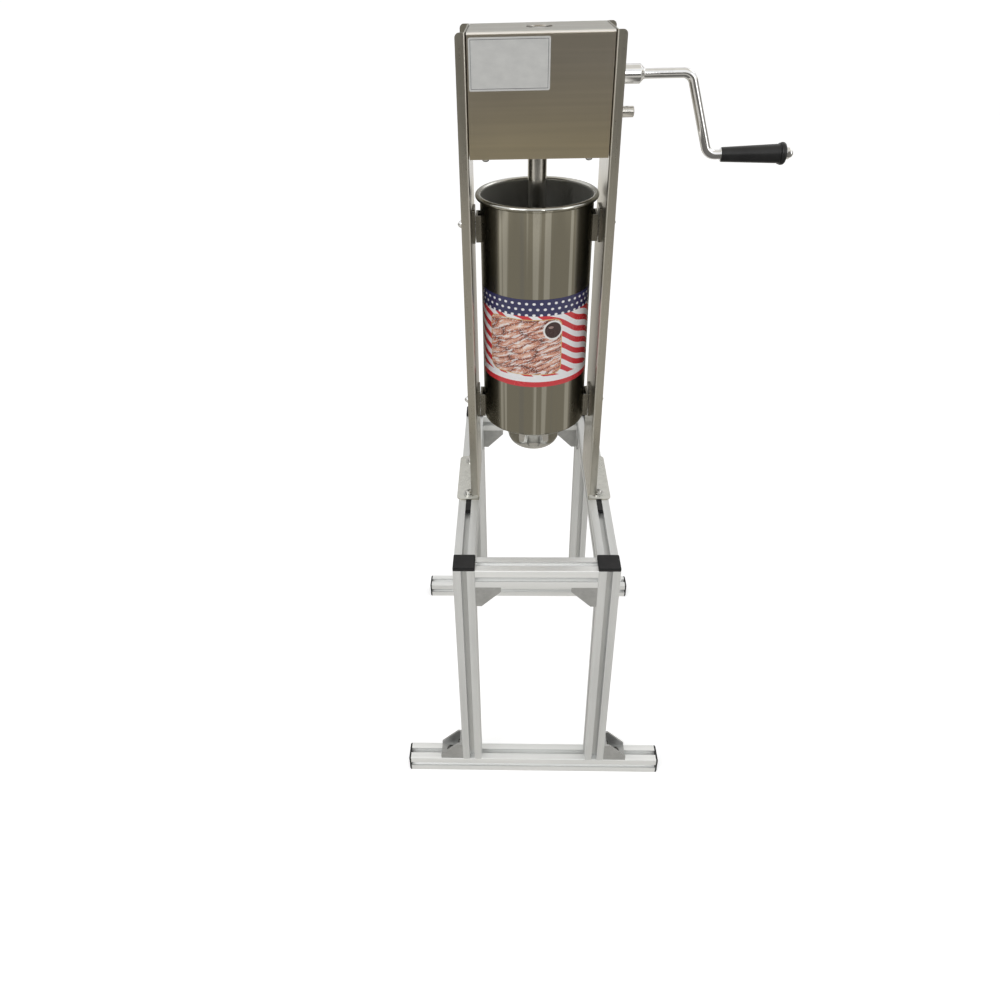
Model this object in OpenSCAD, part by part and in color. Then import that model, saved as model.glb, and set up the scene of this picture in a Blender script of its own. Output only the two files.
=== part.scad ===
// Upright hand-cranked churro machine on a slotted-profile stand.
// X runs towards the crank, Y towards the back and Z up; the foot bars rest on Z = 0.

/* [Stand] */
// Side of the square slotted profile
profile_w = 30; // [29:0.5:34]
// Radius of the profile's outer corners
profile_corner = 1.5; // [0.5:0.1:2.5]
// Width of a profile slot at its mouth
slot_mouth = 8.2; // [8.1:0.1:9]
// Thickness of the two lips of a slot
slot_lip = 2.2; // [1.6:0.1:2.6]
// Width of the cavity behind the lips
slot_cavity = 16.4; // [15.6:0.2:17.4]
// Depth of a slot, from the profile's face to its floor
slot_depth = 9.2; // [8.8:0.1:9.8]
// Diameter of the bore down the middle of the profile
profile_bore = 6.8; // [5:0.2:7.6]
// Length of a foot bar
foot_bar_len = 396; // [340:5:500]
// Length of a leg
leg_len = 402; // [300:5:520]
// Depth of the stand over its two foot bars
stand_depth = 440; // [380:2:520]
// Thickness of a leg cap over the leg's end
leg_cap_t = 4.5; // [2:0.5:6]
// Thickness of a cap on the end of a foot bar
bar_cap_t = 3; // [2:0.5:5]

/* [Corner brackets] */
// Length of each arm of a bracket
bracket_arm = 35; // [32:1:42]
// Width of a bracket
bracket_w = 28; // [26:0.5:29]
// Thickness of the arms
bracket_t = 4; // [3:0.5:5]
// Thickness of the two side ribs
bracket_rib = 3; // [2:0.5:4]
// Width of the slotted hole in each arm
bracket_hole_w = 8.4; // [7:0.2:9]
// Length of the slotted hole in each arm
bracket_hole_len = 12; // [10:0.5:14]
// Distance of the hole's middle from the bracket's corner
bracket_hole_at = 20; // [18:0.5:22]
// Height of a bracket's toe, where the rib ends
bracket_toe = 8; // [5:0.5:11]

/* [Stand fasteners] */
// Thread diameter of the bracket bolts
bracket_bolt_d = 6; // [5:0.5:6.5]
// Head diameter of the bracket bolts
bracket_head_d = 13; // [11:0.5:14]
// Head height of the bracket bolts
bracket_head_h = 3.5; // [2.5:0.5:5]
// Thread diameter of the bolts that hold the posts down
foot_bolt_d = 7.8; // [6:0.2:8]
// Width across the flats of the foot bolts' heads
foot_bolt_flats = 12; // [10:0.5:14]
// Head height of the foot bolts
foot_head_h = 4.5; // [3:0.5:6]
// Diameter of the washers under the foot bolts
foot_washer_d = 17; // [15:0.5:20]
// Thickness of those washers
foot_washer_t = 1.6; // [1:0.2:2.4]
// Thickness of the nuts in the profile slots
slot_nut_t = 4; // [3:0.25:4.5]
// Length of a slot nut along its slot
slot_nut_len = 12; // [10:0.5:16]
// Distance from the machine's middle to each foot bolt, front and back
foot_bolt_y = 45; // [36:1:48]
// How far a nut bar reaches past the foot plate
nut_bar_over = 24; // [10:1:40]

/* [Posts] */
// Height of the posts above the stand
post_h = 626; // [600:2:700]
// Width of a post from its front flange to its back flange
post_depth = 110; // [104:1:124]
// Thickness of the post's sheet
post_t = 2; // [1.5:0.1:3]
// How far the flanges stand out from the inner face of the web
post_flange = 12; // [10:0.5:15]
// Bend radius outside the web's two long edges
post_bend = 3.5; // [3.2:0.1:5]
// Radius of the rounded top corners of the flanges
flange_corner = 5; // [2:0.5:8]
// Gap between the foot plate and the lower ends of the flanges
flange_lift = 4; // [2:0.5:10]
// Distance from the inner face of the web to the middle of the side rail
rail_offset = 16; // [15.5:0.25:19]
// Foot plate past the middle of the side rail
foot_edge = 18; // [12:0.5:20]
// Foot plate past the flanges, front and back
foot_over = 4; // [2:0.5:10]
// Radius of the foot plate's outer corners
foot_corner = 8; // [3:0.5:11]

/* [Cylinder] */
// Outer diameter of the dough cylinder
cyl_d = 145; // [138:1:150]
// Wall thickness of the dough cylinder
cyl_wall = 1.5; // [1:0.1:2]
// Height of the dough cylinder from its underside to its rim
cyl_h = 321; // [290:1:330]
// Thickness of the cylinder's floor
cyl_floor = 2; // [1.5:0.1:3]
// Height of the cylinder's underside above the stand
cyl_lift = 121; // [110:1:126]
// Radius of the bend between wall and floor
cyl_bend = 4; // [3:0.5:7]
// Diameter of the rolled rim
rim_roll = 6.5; // [5:0.5:10]
// Distance of the roll's middle outside the wall's outer face
rim_out = 2.75; // [1:0.25:3]
// Gap between the rim and the web of each post
rim_gap = 3.5; // [3:0.25:6]

/* [Cylinder hangers] */
// Height of the lower hanger bolts above the cylinder's underside
hanger_low = 20; // [20:0.5:40]
// Distance of the upper hanger bolts below the rim
hanger_drop = 41; // [36:1:70]
// Height of a hanger plate on the post
hanger_h = 44; // [36:1:52]
// Width of a hanger plate
hanger_w = 30; // [26:1:36]
// Thickness of a hanger plate
hanger_t = 3; // [2:0.25:3]
// Diameter of a hanger bolt's neck
hanger_neck_d = 8.4; // [8:0.1:9]
// Diameter of a hanger bolt's head
hanger_head_d = 16; // [14:0.5:18]
// Thickness of a hanger bolt's head
hanger_head_t = 2; // [1.5:0.1:2.2]
// Width of a lug on the cylinder
lug_w = 28; // [24:1:34]
// Thickness of a lug's sheet
lug_t = 2.5; // [2:0.1:2.8]
// Height of a lug above the hanger bolt
lug_above = 14; // [10:0.5:18]
// Height of a lug below the hanger bolt
lug_below = 20; // [14:0.5:20]
// Play between the lug's outer face and the hanger plate
lug_play = 1; // [0.6:0.1:1.5]
// Width across the flats of an acorn nut
acorn_flats = 12; // [11:0.5:14]
// Height of an acorn nut's hexagon
acorn_hex_h = 5; // [4:0.5:7]

/* [Outlet] */
// Outer diameter of the threaded spout
spout_d = 56; // [50:0.5:60]
// Bore of the spout
spout_bore = 46; // [40:0.5:47]
// Length of the spout below the cylinder
spout_len = 38; // [32:1:42]
// Thickness of the nozzle plate
nozzle_t = 4; // [3:0.5:6]
// Distance of the three nozzle holes from the plate's middle
nozzle_ring = 9.2; // [9:0.1:10]
// Outer radius of a star-shaped nozzle hole
nozzle_star = 6.5; // [5:0.1:6.8]
// Points of a star-shaped nozzle hole
nozzle_points = 8; // [6:1:10]
// Outer diameter of the outlet nut
nut_d = 76; // [70:0.5:80]
// Radius of the outlet nut's rounded lower edge
nut_round = 18; // [8:0.5:18.5]
// Depth of the outlet nut under the nozzle plate
nut_lip = 9; // [8:0.5:14]
// Diameter of the hole in the outlet nut's lower face
nut_mouth = 36; // [33:0.5:38]
// Gap between the outlet nut and the cylinder's underside
nut_gap = 4; // [2:0.5:6]
// Clearance between the spout's thread and the outlet nut
thread_clear = 0.3; // [0.2:0.05:0.6]

/* [Gear housing] */
// Height of the gear housing
housing_h = 133; // [130:1:145]
// Thickness of the housing's sheet
housing_t = 1.2; // [0.8:0.1:1.6]
// Gap between the housing and the web of each post
housing_gap = 0.8; // [0.5:0.1:1.5]
// Radius of the housing's folded edges
housing_fold = 3; // [2:0.25:4]
// Hole in the housing's top where the rack rod comes out
top_hole = 30; // [28:0.5:34]
// Thickness of the base plate
base_plate_t = 3; // [2:0.5:3.5]
// Clearance between the base plate and the cover
base_clear = 0.3; // [0.2:0.05:0.6]
// Thickness of the two side plates that carry the shafts
side_plate_t = 6; // [5:0.5:7]
// Half the depth of a side plate
side_plate_half = 42; // [40:1:46]
// Gap between a side plate's top and the housing's top
side_plate_gap = 15; // [12:0.5:18]
// How far a side plate's foot reaches inwards from the plate's outer face
side_foot = 26; // [22:1:28]
// Thickness of a side plate's foot
side_foot_t = 4; // [3:0.5:5]
// Thread diameter of the housing's bolts and screws
housing_bolt_d = 6; // [5:0.5:7]
// Distance of the side bolts in front of the machine's middle
side_bolt_y = 28; // [24:1:32]
// Distance of the side bolts from the side plate's top and bottom edges
side_bolt_in = 16; // [13:1:18]
// Distance of the base screws from the machine's middle, to each side
base_screw_x = 62; // [60:0.5:64]
// Distance of the base screws from the machine's middle, front and back
base_screw_y = 36; // [30:1:36]

/* [Gear train] */
// Module of the gear pair
gear_module = 1.5; // [1.4:0.05:1.55]
// Teeth of the small gear on the upper shaft
small_teeth = 16; // [15:1:18]
// Teeth of the large gear on the lower shaft
large_teeth = 40; // [38:1:40]
// Pressure angle of the gear pair
gear_angle = 20; // [18:1:25]
// Width of the large gear
large_gear_w = 10; // [8:0.5:14]
// Width of the small gear
small_gear_w = 12; // [10:0.5:16]
// Distance of the gear pair from the machine's middle
gear_x = 30; // [27:0.5:36]
// Module of the rack and its pinion
rack_module = 2; // [1.8:0.1:2.1]
// Teeth of the pinion that drives the rack
pinion_teeth = 11; // [11:1:12]
// Pressure angle of the rack and its pinion
rack_angle = 25; // [24:1:28]
// Width of the pinion
pinion_w = 24; // [20:1:30]
// Play between meshing teeth, measured along the pitch line
tooth_play = 0.3; // [0.2:0.05:0.5]
// Length of the hub beside each gear
gear_hub = 10; // [8:0.5:12]
// Diameter of both shafts
shaft_d = 14; // [12:0.5:14.5]
// Diameter of both shafts where the crank fits on
shaft_end_d = 13; // [10:0.5:13]
// Radial clearance of each shaft in its bushes
shaft_clear = 0.05; // [0.02:0.01:0.1]
// Height of the lower shaft above the housing's underside
shaft_rise = 37; // [36:0.5:40]
// Reach of the lower shaft's free end outside the web of the post
shaft_reach = 33; // [25:1:45]
// Clearance round a shaft where it passes through sheet
sheet_clear = 2; // [1:0.25:3]
// Outer diameter of the shaft bushes
bush_d = 20; // [19:0.5:22]
// Flange diameter of the shaft bushes
bush_flange_d = 26; // [24:0.5:28]
// Flange thickness of the shaft bushes
bush_flange_t = 2; // [1.5:0.25:3]
// Outer diameter of the shaft collars
collar_d = 22; // [20:0.5:26]
// Width of the shaft collars
collar_w = 7; // [5:0.5:9]
// Gap between parts that turn against each other
turn_gap = 0.4; // [0.3:0.05:0.8]
// Diameter of the pins through gears, collars and crank
pin_d = 4; // [3:0.25:5]
// Clearance round a pin in its hole
pin_clear = 0.03; // [0.02:0.01:0.05]

/* [Rack rod and piston] */
// Diameter of the rack rod
rod_d = 24; // [22:0.5:25]
// How far the rod's top lies below the housing's top
rod_recess = 1.5; // [0:0.5:4]
// Distance of the tooth tips from the rod's middle
rack_tip = 10; // [9.5:0.1:10.4]
// Toothed length past the contact point at both ends of the travel
rack_spare = 14; // [12:1:20]
// Lift of the plunger from its rest, enough to clear the cylinder
travel_up = 305; // [250:1:306]
// Drop of the plunger from its rest
travel_down = 25; // [5:1:26]
// Height of the piston's underside above the cylinder's floor at rest
piston_rest = 28; // [28:0.5:40]
// Thickness of the piston
piston_t = 16; // [12:0.5:22]
// Clearance between the piston's seal and the cylinder
seal_clear = 0.3; // [0.2:0.05:0.6]
// How far the seal stands out of the piston
seal_out = 0.7; // [0.4:0.1:1.2]
// Height of the seal
seal_h = 5; // [4:0.5:6]
// Depth of the seal's groove
seal_groove = 4; // [2:0.5:6]
// Diameter of the rod's threaded end below the piston
rod_end_d = 14; // [12:0.5:16]
// Length of the rod's threaded end below the piston
rod_end_len = 12; // [11:0.5:14]
// Width across the flats of the piston nut
piston_nut_flats = 22; // [20:0.5:26]
// Height of the piston nut
piston_nut_h = 9; // [7:0.5:10]
// Outer diameter of the rod's guide bushes
guide_d = 32; // [30:0.5:33]
// Radial clearance of the rod in its guide bushes
guide_clear = 0.08; // [0.04:0.01:0.1]
// Thickness of the bridge that carries the upper guide
bridge_t = 6; // [5:0.5:8]
// Half the depth of the bridge
bridge_half = 22; // [20:1:26]
// Width of the bridge's tongues in the side plates
tongue_w = 26; // [16:1:34]
// Gap between the upper guide and the housing's top
guide_drop = 6; // [5:0.5:8]
// How far the upper guide reaches below its bridge
guide_below = 8; // [4:0.5:8]

/* [Crank and grip] */
// Diameter of the crank's hub
hub_d = 22; // [20:0.5:26]
// Length of the crank's hub
hub_len = 33; // [30:1:40]
// Gap between the hub and the web of the post
hub_gap = 4; // [2:0.5:6]
// Length of the cone after the hub
hub_cone = 5; // [3:0.5:8]
// Diameter of the crank's rod
crank_rod_d = 11.5; // [10:0.5:14]
// Distance from the web to the crank's upper bend
crank_out = 98; // [85:1:110]
// Sideways run of the slanting arm
arm_run = 30; // [15:1:40]
// Drop of the slanting arm
crank_throw = 94; // [75:1:110]
// Radius of the crank's two bends, at the rod's middle
crank_bend = 14; // [10:0.5:18]
// Distance from the lower bend to the grip
grip_start = 17; // [14:0.5:30]
// Length of the grip
grip_len = 79; // [65:1:100]
// Diameter of the grip at its thin end
grip_thin_d = 17.5; // [16:0.5:20]
// Diameter of the grip before its collar
grip_thick_d = 23; // [21:0.5:26]
// Diameter of the collar at the grip's outer end
grip_collar_d = 27; // [25:0.5:32]
// Width of that collar
grip_collar_w = 7.5; // [6:0.5:11]
// Diameter of the spindle inside the grip
spindle_d = 8; // [7:0.5:9]
// Radial clearance of the grip on its spindle
grip_clear = 0.1; // [0.05:0.01:0.1]
// Diameter of the cap nut on the spindle
end_nut_d = 14.5; // [12:0.5:17]
// Length of the cap nut
end_nut_len = 9; // [7:0.5:14]
// Thickness of the washers at both ends of the grip
grip_washer_t = 1; // [0.8:0.1:1.5]

/* [Hidden] */
$fn = 64;

// Colours as the object shows them
aluminium = [0.80, 0.81, 0.82];
cast_grey = [0.66, 0.67, 0.68];
steel = [0.62, 0.60, 0.54];
bright_steel = [0.78, 0.78, 0.76];
mirror_steel = [0.55, 0.54, 0.49];
chrome = [0.88, 0.88, 0.89];
zinc = [0.72, 0.72, 0.70];
black = [0.06, 0.06, 0.06];
bronze = [0.72, 0.52, 0.28];
gear_steel = [0.45, 0.45, 0.46];
seal_grey = [0.85, 0.83, 0.78];

// Small overlap that keeps cuts and joined shapes clean
eps = 0.01;

// Heights of the stand
bar_y = stand_depth / 2 - profile_w / 2;
leg_top = profile_w + leg_len;
rail_z = leg_top - profile_w / 2;
slot_nut_w = slot_mouth + 4;

// Cylinder and posts: the posts stand just outside the rolled rim
cyl_r = cyl_d / 2;
bore_r = cyl_r - cyl_wall;
rim_mid_r = cyl_r + rim_out;
rim_r = rim_mid_r + rim_roll / 2;
web_in = rim_r + rim_gap;
web_out = web_in + post_t;
leg_x = web_in + rail_offset;
post_half = post_depth / 2;
post_top = leg_top + post_h;
foot_half = post_half + foot_over;
cyl_z = leg_top + cyl_lift;
rim_z = cyl_z + cyl_h;
floor_z = cyl_z + cyl_floor;

// Hangers, measured outwards from the machine's middle
hanger_in = web_in - hanger_t;
lug_out = hanger_in - lug_play;
lug_in = lug_out - lug_t;
hanger_levels = [cyl_z + hanger_low, rim_z - hanger_drop];
hanger_slot_r = hanger_neck_d / 2 + 0.2;

// Housing and its inner faces
housing_z = post_top - housing_h;
cover_out = web_in - housing_gap;
cover_in = cover_out - housing_t;
cover_y = post_half - housing_t;
plate_in = cover_in - side_plate_t;
plate_z = housing_z + base_plate_t;
side_plate_h = housing_h - base_plate_t - side_plate_gap;
plate_top = plate_z + side_plate_h;

// Shafts: the rack's pitch line sets how far behind the rod they lie
rack_pitch_y = rack_tip - rack_module;
rack_root_y = rack_pitch_y - 1.25 * rack_module;
pinion_r = rack_module * pinion_teeth / 2;
shaft_y = rack_pitch_y + pinion_r;
lower_z = housing_z + shaft_rise;
upper_z = lower_z + gear_module * (small_teeth + large_teeth) / 2;
shaft_hole_d = shaft_d + 2 * sheet_clear;
shaft_left = plate_in + side_plate_t - 1;
shoulder_x = web_out + 2;
collar_at = plate_in - bush_flange_t - turn_gap - collar_w;

// Rod and piston at rest
rod_r = rod_d / 2;
rod_top = post_top - rod_recess;
piston_z = floor_z + piston_rest;
piston_top = piston_z + piston_t;
seal_r = bore_r - seal_clear;
piston_r = seal_r - seal_out;
rack_pitch = PI * rack_module;
rack_steps = ceil((travel_up + travel_down + 2 * rack_spare) / rack_pitch / 2) * 2;
rack_mid_z = lower_z - (travel_up - travel_down) / 2;
rack_first = -round((lower_z - rack_mid_z) / rack_pitch) - rack_steps / 2;

// Guides of the rod
lower_guide_h = 17;
guide_flange_t = 3;
upper_guide_h = bridge_t + 12;
bridge_z = post_top - housing_t - guide_drop - upper_guide_h;
valve_at = 40;
valve_r = 5;

// Outlet
spout_end = cyl_z - spout_len;
nozzle_z = spout_end - nozzle_t;
nut_z = nozzle_z - nut_lip;
nut_bore_r = spout_d / 2 + thread_clear;

// Crank
hub_start = web_out + hub_gap;
cone_start = hub_start + hub_len;
rod_start = cone_start + hub_cone;
bend_x = web_out + crank_out;
arm_angle = atan2(crank_throw, arm_run);
bend_len = crank_bend * tan(arm_angle / 2);
low_bend_x = bend_x + arm_run;
crank_low_z = upper_z - crank_throw;
grip_x = low_bend_x + grip_start;
spindle_start = grip_x - turn_gap - grip_washer_t;
spindle_end = grip_x + grip_len + grip_washer_t + turn_gap;
end_nut_grip = 4;
rod_into = 0.5;
crank_end = spindle_end + end_nut_len;

// The machine's middle lies off the origin, which is under the middle of the whole object
foot_bar_end = foot_bar_len / 2 + bar_cap_t;
axis_x = (foot_bar_end - crank_end) / 2;

// ---------- helpers ----------

module on_axis() {
    translate([axis_x, 0, 0]) children();
}

// Turns a shape drawn in XY so that it stands in YZ and its height runs along +X
module along_x() {
    rotate([90, 0, 90]) children();
}

module rounded_rect(w, h, r) {
    square([w, h - 2 * r], center = true);
    square([w - 2 * r, h], center = true);
    for (x = [-1, 1], y = [-1, 1]) translate([x * (w / 2 - r), y * (h / 2 - r)]) circle(r);
}

module slot_hole(w, len) {
    square([len - w, w], center = true);
    for (x = [-1, 1]) translate([x * (len - w) / 2, 0]) circle(d = w);
}

module hexagon(flats) {
    circle(r = flats / sqrt(3), $fn = 6);
}

// ---------- slotted profile ----------

module slot_outline() {
    half = profile_w / 2;
    taper = slot_cavity / 2 - (slot_depth - slot_lip) * 0.6;
    translate([-slot_mouth / 2, half - slot_lip - 1]) square([slot_mouth, slot_lip + 2]);
    polygon([
        [-slot_cavity / 2, half - slot_lip], [slot_cavity / 2, half - slot_lip],
        [slot_cavity / 2, half - slot_lip - 1.6], [taper, half - slot_depth],
        [-taper, half - slot_depth], [-slot_cavity / 2, half - slot_lip - 1.6]
    ]);
}

module profile_outline() {
    difference() {
        rounded_rect(profile_w, profile_w, profile_corner);
        for (turn = [0:90:270]) rotate(turn) slot_outline();
        circle(d = profile_bore);
    }
}

module profile_bar(len) {
    color(aluminium) linear_extrude(len, center = true) profile_outline();
}

module bar_along_x(len) {
    along_x() profile_bar(len);
}

module bar_along_y(len) {
    rotate([90, 0, 0]) profile_bar(len);
}

module base_bar(side) {
    on_axis() translate([0, side * bar_y, profile_w / 2]) bar_along_x(foot_bar_len);
}

module leg(side, face) {
    on_axis() translate([side * leg_x, face * bar_y, profile_w + leg_len / 2]) profile_bar(leg_len);
}

module side_rail(side) {
    on_axis() translate([side * leg_x, 0, rail_z]) bar_along_y(stand_depth - 2 * profile_w);
}

module cross_rail(face) {
    on_axis() translate([0, face * bar_y, rail_z]) bar_along_x(2 * leg_x - profile_w);
}

module base_bar_front() { base_bar(-1); }
module base_bar_rear() { base_bar(1); }
module leg_front_left() { leg(-1, -1); }
module leg_front_right() { leg(1, -1); }
module leg_rear_left() { leg(-1, 1); }
module leg_rear_right() { leg(1, 1); }
module side_rail_left() { side_rail(-1); }
module side_rail_right() { side_rail(1); }
module cross_rail_front() { cross_rail(-1); }
module cross_rail_rear() { cross_rail(1); }

// A cap with a plug that fits the profile's bore; it lies on Z = 0
module profile_cap(t) {
    step = min(1, t / 3);
    linear_extrude(t - step) rounded_rect(profile_w, profile_w, profile_corner);
    linear_extrude(t) rounded_rect(profile_w - 2 * step, profile_w - 2 * step, profile_corner);
    translate([0, 0, -8]) cylinder(h = 8 + eps, d = profile_bore - 0.2);
}

module base_bar_caps() {
    color(black) on_axis()
        for (x = [-1, 1], y = [-1, 1])
            translate([x * foot_bar_len / 2, y * bar_y, profile_w / 2])
                rotate([0, x * 90, 0]) profile_cap(bar_cap_t);
}

module leg_caps() {
    color(black) on_axis()
        for (x = [-1, 1], y = [-1, 1])
            translate([x * leg_x, y * bar_y, leg_top]) profile_cap(leg_cap_t);
}

// ---------- corner brackets ----------

// Arms along +X and +Z from the corner, ribs on both sides
module corner_bracket() {
    color(cast_grey) difference() {
        rotate([90, 0, 0]) linear_extrude(bracket_w, center = true)
            polygon([
                [0, 0], [bracket_arm, 0], [bracket_arm, bracket_toe],
                [bracket_toe, bracket_arm], [0, bracket_arm]
            ]);
        translate([bracket_t, -bracket_w / 2 + bracket_rib, bracket_t])
            cube([bracket_arm, bracket_w - 2 * bracket_rib, bracket_arm]);
        on_bracket_arms() translate([0, 0, -1]) linear_extrude(bracket_t + 2)
            slot_hole(bracket_hole_w, bracket_hole_len);
    }
}

// Places its child on both arms at the holes, with +Z pointing away from the profile
module on_bracket_arms() {
    translate([bracket_hole_at, 0, 0]) children();
    translate([0, 0, bracket_hole_at]) rotate([0, 90, 0]) children();
}

// Outer corners between the legs and the foot bars
module at_base_corners() {
    on_axis() for (x = [-1, 1], y = [-1, 1])
        translate([x * (leg_x + profile_w / 2), y * bar_y, profile_w])
            mirror([x < 0 ? 1 : 0, 0, 0]) children();
}

// Inner corners between the legs and the cross rails
module at_cross_corners() {
    on_axis() for (x = [-1, 1], y = [-1, 1])
        translate([x * (leg_x - profile_w / 2), y * bar_y, leg_top - profile_w])
            mirror([x > 0 ? 1 : 0, 0, 0]) mirror([0, 0, 1]) children();
}

// Inner corners between the legs and the side rails
module at_side_corners() {
    on_axis() for (x = [-1, 1], y = [-1, 1])
        translate([x * leg_x, y * (bar_y - profile_w / 2), leg_top - profile_w])
            rotate(-90 * y) mirror([0, 0, 1]) children();
}

module base_brackets() { at_base_corners() corner_bracket(); }
module cross_brackets() { at_cross_corners() corner_bracket(); }
module side_brackets() { at_side_corners() corner_bracket(); }

module at_every_bracket_hole() {
    at_base_corners() on_bracket_arms() children();
    at_cross_corners() on_bracket_arms() children();
    at_side_corners() on_bracket_arms() children();
}

module button_bolt(d, head_d, head_h, grip, tail) {
    socket = d * 0.55;
    difference() {
        union() {
            translate([0, 0, grip]) rotate_extrude() {
                square([head_d / 2, head_h * 0.35]);
                translate([0, head_h * 0.35]) intersection() {
                    square([head_d / 2, head_h * 0.65]);
                    translate([head_d / 2 - head_h * 0.65, 0]) circle(head_h * 0.65);
                }
                square([head_d / 2 - head_h * 0.65, head_h]);
            }
            translate([0, 0, -tail]) cylinder(h = tail + grip + eps, d = d);
        }
        translate([0, 0, grip + head_h - head_h * 0.6]) linear_extrude(head_h) hexagon(socket);
    }
}

module bracket_bolts() {
    color(zinc) at_every_bracket_hole()
        button_bolt(bracket_bolt_d, bracket_head_d, bracket_head_h,
                    bracket_t, slot_lip + slot_nut_t + 0.8);
}

// The nut lies under the lips; its ridge keeps it from turning in the slot's mouth
module slot_nut() {
    difference() {
        translate([0, 0, -slot_lip - slot_nut_t / 2])
            cube([slot_nut_len, slot_nut_w, slot_nut_t], center = true);
        translate([0, 0, -slot_lip - slot_nut_t - 1])
            cylinder(h = slot_nut_t + 2, d = bracket_bolt_d + 2 * pin_clear);
    }
}

module slot_nuts() {
    color(zinc) at_every_bracket_hole() slot_nut();
}

// ---------- posts ----------

module channel_outline() {
    depth = 2 * post_flange;
    difference() {
        rounded_rect(depth, post_depth, post_bend);
        rounded_rect(depth - 2 * post_t, post_depth - 2 * post_t, post_bend - post_t);
        translate([0, -post_half - 1]) square([depth, post_depth + 2]);
    }
}

// A right-hand post: web inboard, flanges and foot plate pointing outwards
module post_shape() {
    flange_z = leg_top + post_t + flange_lift;
    difference() {
        union() {
            translate([web_in + post_flange, 0, flange_z])
                linear_extrude(post_top - flange_z) channel_outline();
            translate([web_in, -post_half + post_bend, leg_top])
                cube([post_t, post_depth - 2 * post_bend, post_h]);
            translate([0, 0, leg_top]) linear_extrude(post_t) foot_outline();
        }
        for (y = [-1, 1]) {
            translate([web_in + post_flange, y * post_half, post_top]) flange_corner_cut();
            translate([leg_x, y * foot_bolt_y, leg_top - 1]) cylinder(h = post_t + 2, d = foot_bolt_d + 0.8);
        }
        for (z = hanger_levels) translate([web_in - 1, 0, z]) along_x()
            cylinder(h = post_t + 2, d = hanger_neck_d - 0.4);
        at_side_bolts() translate([0, 0, -1]) cylinder(h = post_t + 2, d = housing_bolt_d + 0.4);
    }
}

// Leaves a quarter circle on the top outer corner of a flange
module flange_corner_cut() {
    r = flange_corner;
    translate([-r, 0, -r]) rotate([90, 0, 0]) linear_extrude(4 * post_bend, center = true)
        difference() {
            square(r + 1);
            circle(r);
        }
}

module foot_outline() {
    outer = leg_x + foot_edge;
    r = foot_corner;
    translate([web_in, -foot_half]) square([outer - web_in - r, 2 * foot_half]);
    translate([web_in, -foot_half + r]) square([outer - web_in, 2 * (foot_half - r)]);
    for (y = [-1, 1]) translate([outer - r, y * (foot_half - r)]) circle(r);
}

// Places its child on the web's inner face at the two housing bolts, +Z pointing outwards
module at_side_bolts() {
    for (z = [plate_z + side_bolt_in, plate_top - side_bolt_in])
        translate([web_in, -side_bolt_y, z]) rotate([0, 90, 0]) children();
}

module post_left() {
    color(steel) on_axis() mirror([1, 0, 0]) post_shape();
}

module post_right() {
    color(steel) on_axis() difference() {
        post_shape();
        at_shafts() cylinder(h = 4 * post_t, d = shaft_hole_d, center = true);
    }
}

// Places its child on the right post's web at both shafts, with +Z along +X
module at_shafts() {
    for (z = [upper_z, lower_z]) translate([web_in, shaft_y, z]) rotate([0, 90, 0]) children();
}

module at_foot_bolts() {
    on_axis() for (x = [-1, 1], y = [-1, 1])
        translate([x * leg_x, y * foot_bolt_y, leg_top + post_t]) children();
}

module foot_bolts() {
    under = post_t + slot_lip + slot_nut_t;
    color(zinc) at_foot_bolts() difference() {
        union() {
            translate([0, 0, foot_washer_t]) linear_extrude(foot_head_h) hexagon(foot_bolt_flats);
            translate([0, 0, -under]) cylinder(h = under + foot_washer_t + eps, d = foot_bolt_d);
        }
        translate([0, 0, foot_washer_t + foot_head_h]) hex_head_crown(foot_bolt_flats);
    }
}

// Takes the sharp corners off the top of a hexagonal head
module hex_head_crown(flats) {
    rotate_extrude() polygon([
        [flats / 2 - 0.2, 0.1], [flats / 2 - 0.2, 0], [flats / sqrt(3) + 0.5, -1.2],
        [flats / sqrt(3) + 0.5, 0.1]
    ]);
}

module foot_washers() {
    color(zinc) at_foot_bolts() difference() {
        cylinder(h = foot_washer_t, d = foot_washer_d);
        translate([0, 0, -1]) cylinder(h = foot_washer_t + 2, d = foot_bolt_d + 2 * pin_clear);
    }
}

// Long nuts in the side rails' top slots, with a tongue up into the slot's mouth
module foot_nut_bars() {
    len = 2 * (foot_half + nut_bar_over);
    color(black) on_axis() for (x = [-1, 1]) difference() {
        union() {
            translate([x * leg_x, 0, leg_top - slot_lip - slot_nut_t / 2])
                cube([slot_nut_w, len, slot_nut_t], center = true);
            translate([x * leg_x, 0, leg_top - slot_lip / 2 - 0.6])
                cube([slot_mouth - 0.2, len, slot_lip], center = true);
        }
        for (y = [-1, 1]) translate([x * leg_x, y * foot_bolt_y, leg_top - slot_lip - slot_nut_t - 1])
            cylinder(h = slot_lip + slot_nut_t + 2, d = foot_bolt_d + 2 * pin_clear);
    }
}

// ---------- dough cylinder and its hangers ----------

module dough_cylinder() {
    color(mirror_steel) on_axis() translate([0, 0, cyl_z]) rotate_extrude() {
        difference() {
            union() {
                translate([0, cyl_bend]) square([cyl_r, cyl_h - rim_roll / 2 - cyl_bend]);
                square([cyl_r - cyl_bend, cyl_bend + eps]);
                translate([cyl_r - cyl_bend, cyl_bend]) circle(cyl_bend);
                translate([rim_mid_r, cyl_h - rim_roll / 2]) circle(d = rim_roll);
            }
            translate([-cyl_d, -cyl_h]) square([cyl_d, 3 * cyl_h]);
            translate([0, cyl_bend]) square([bore_r, cyl_h]);
            translate([0, cyl_floor]) square([cyl_r - cyl_bend, cyl_h]);
            translate([cyl_r - cyl_bend, cyl_bend]) circle(cyl_bend - cyl_wall);
            translate([0, -1]) square([spout_bore / 2, cyl_floor + 2]);
        }
    }
}

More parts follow.
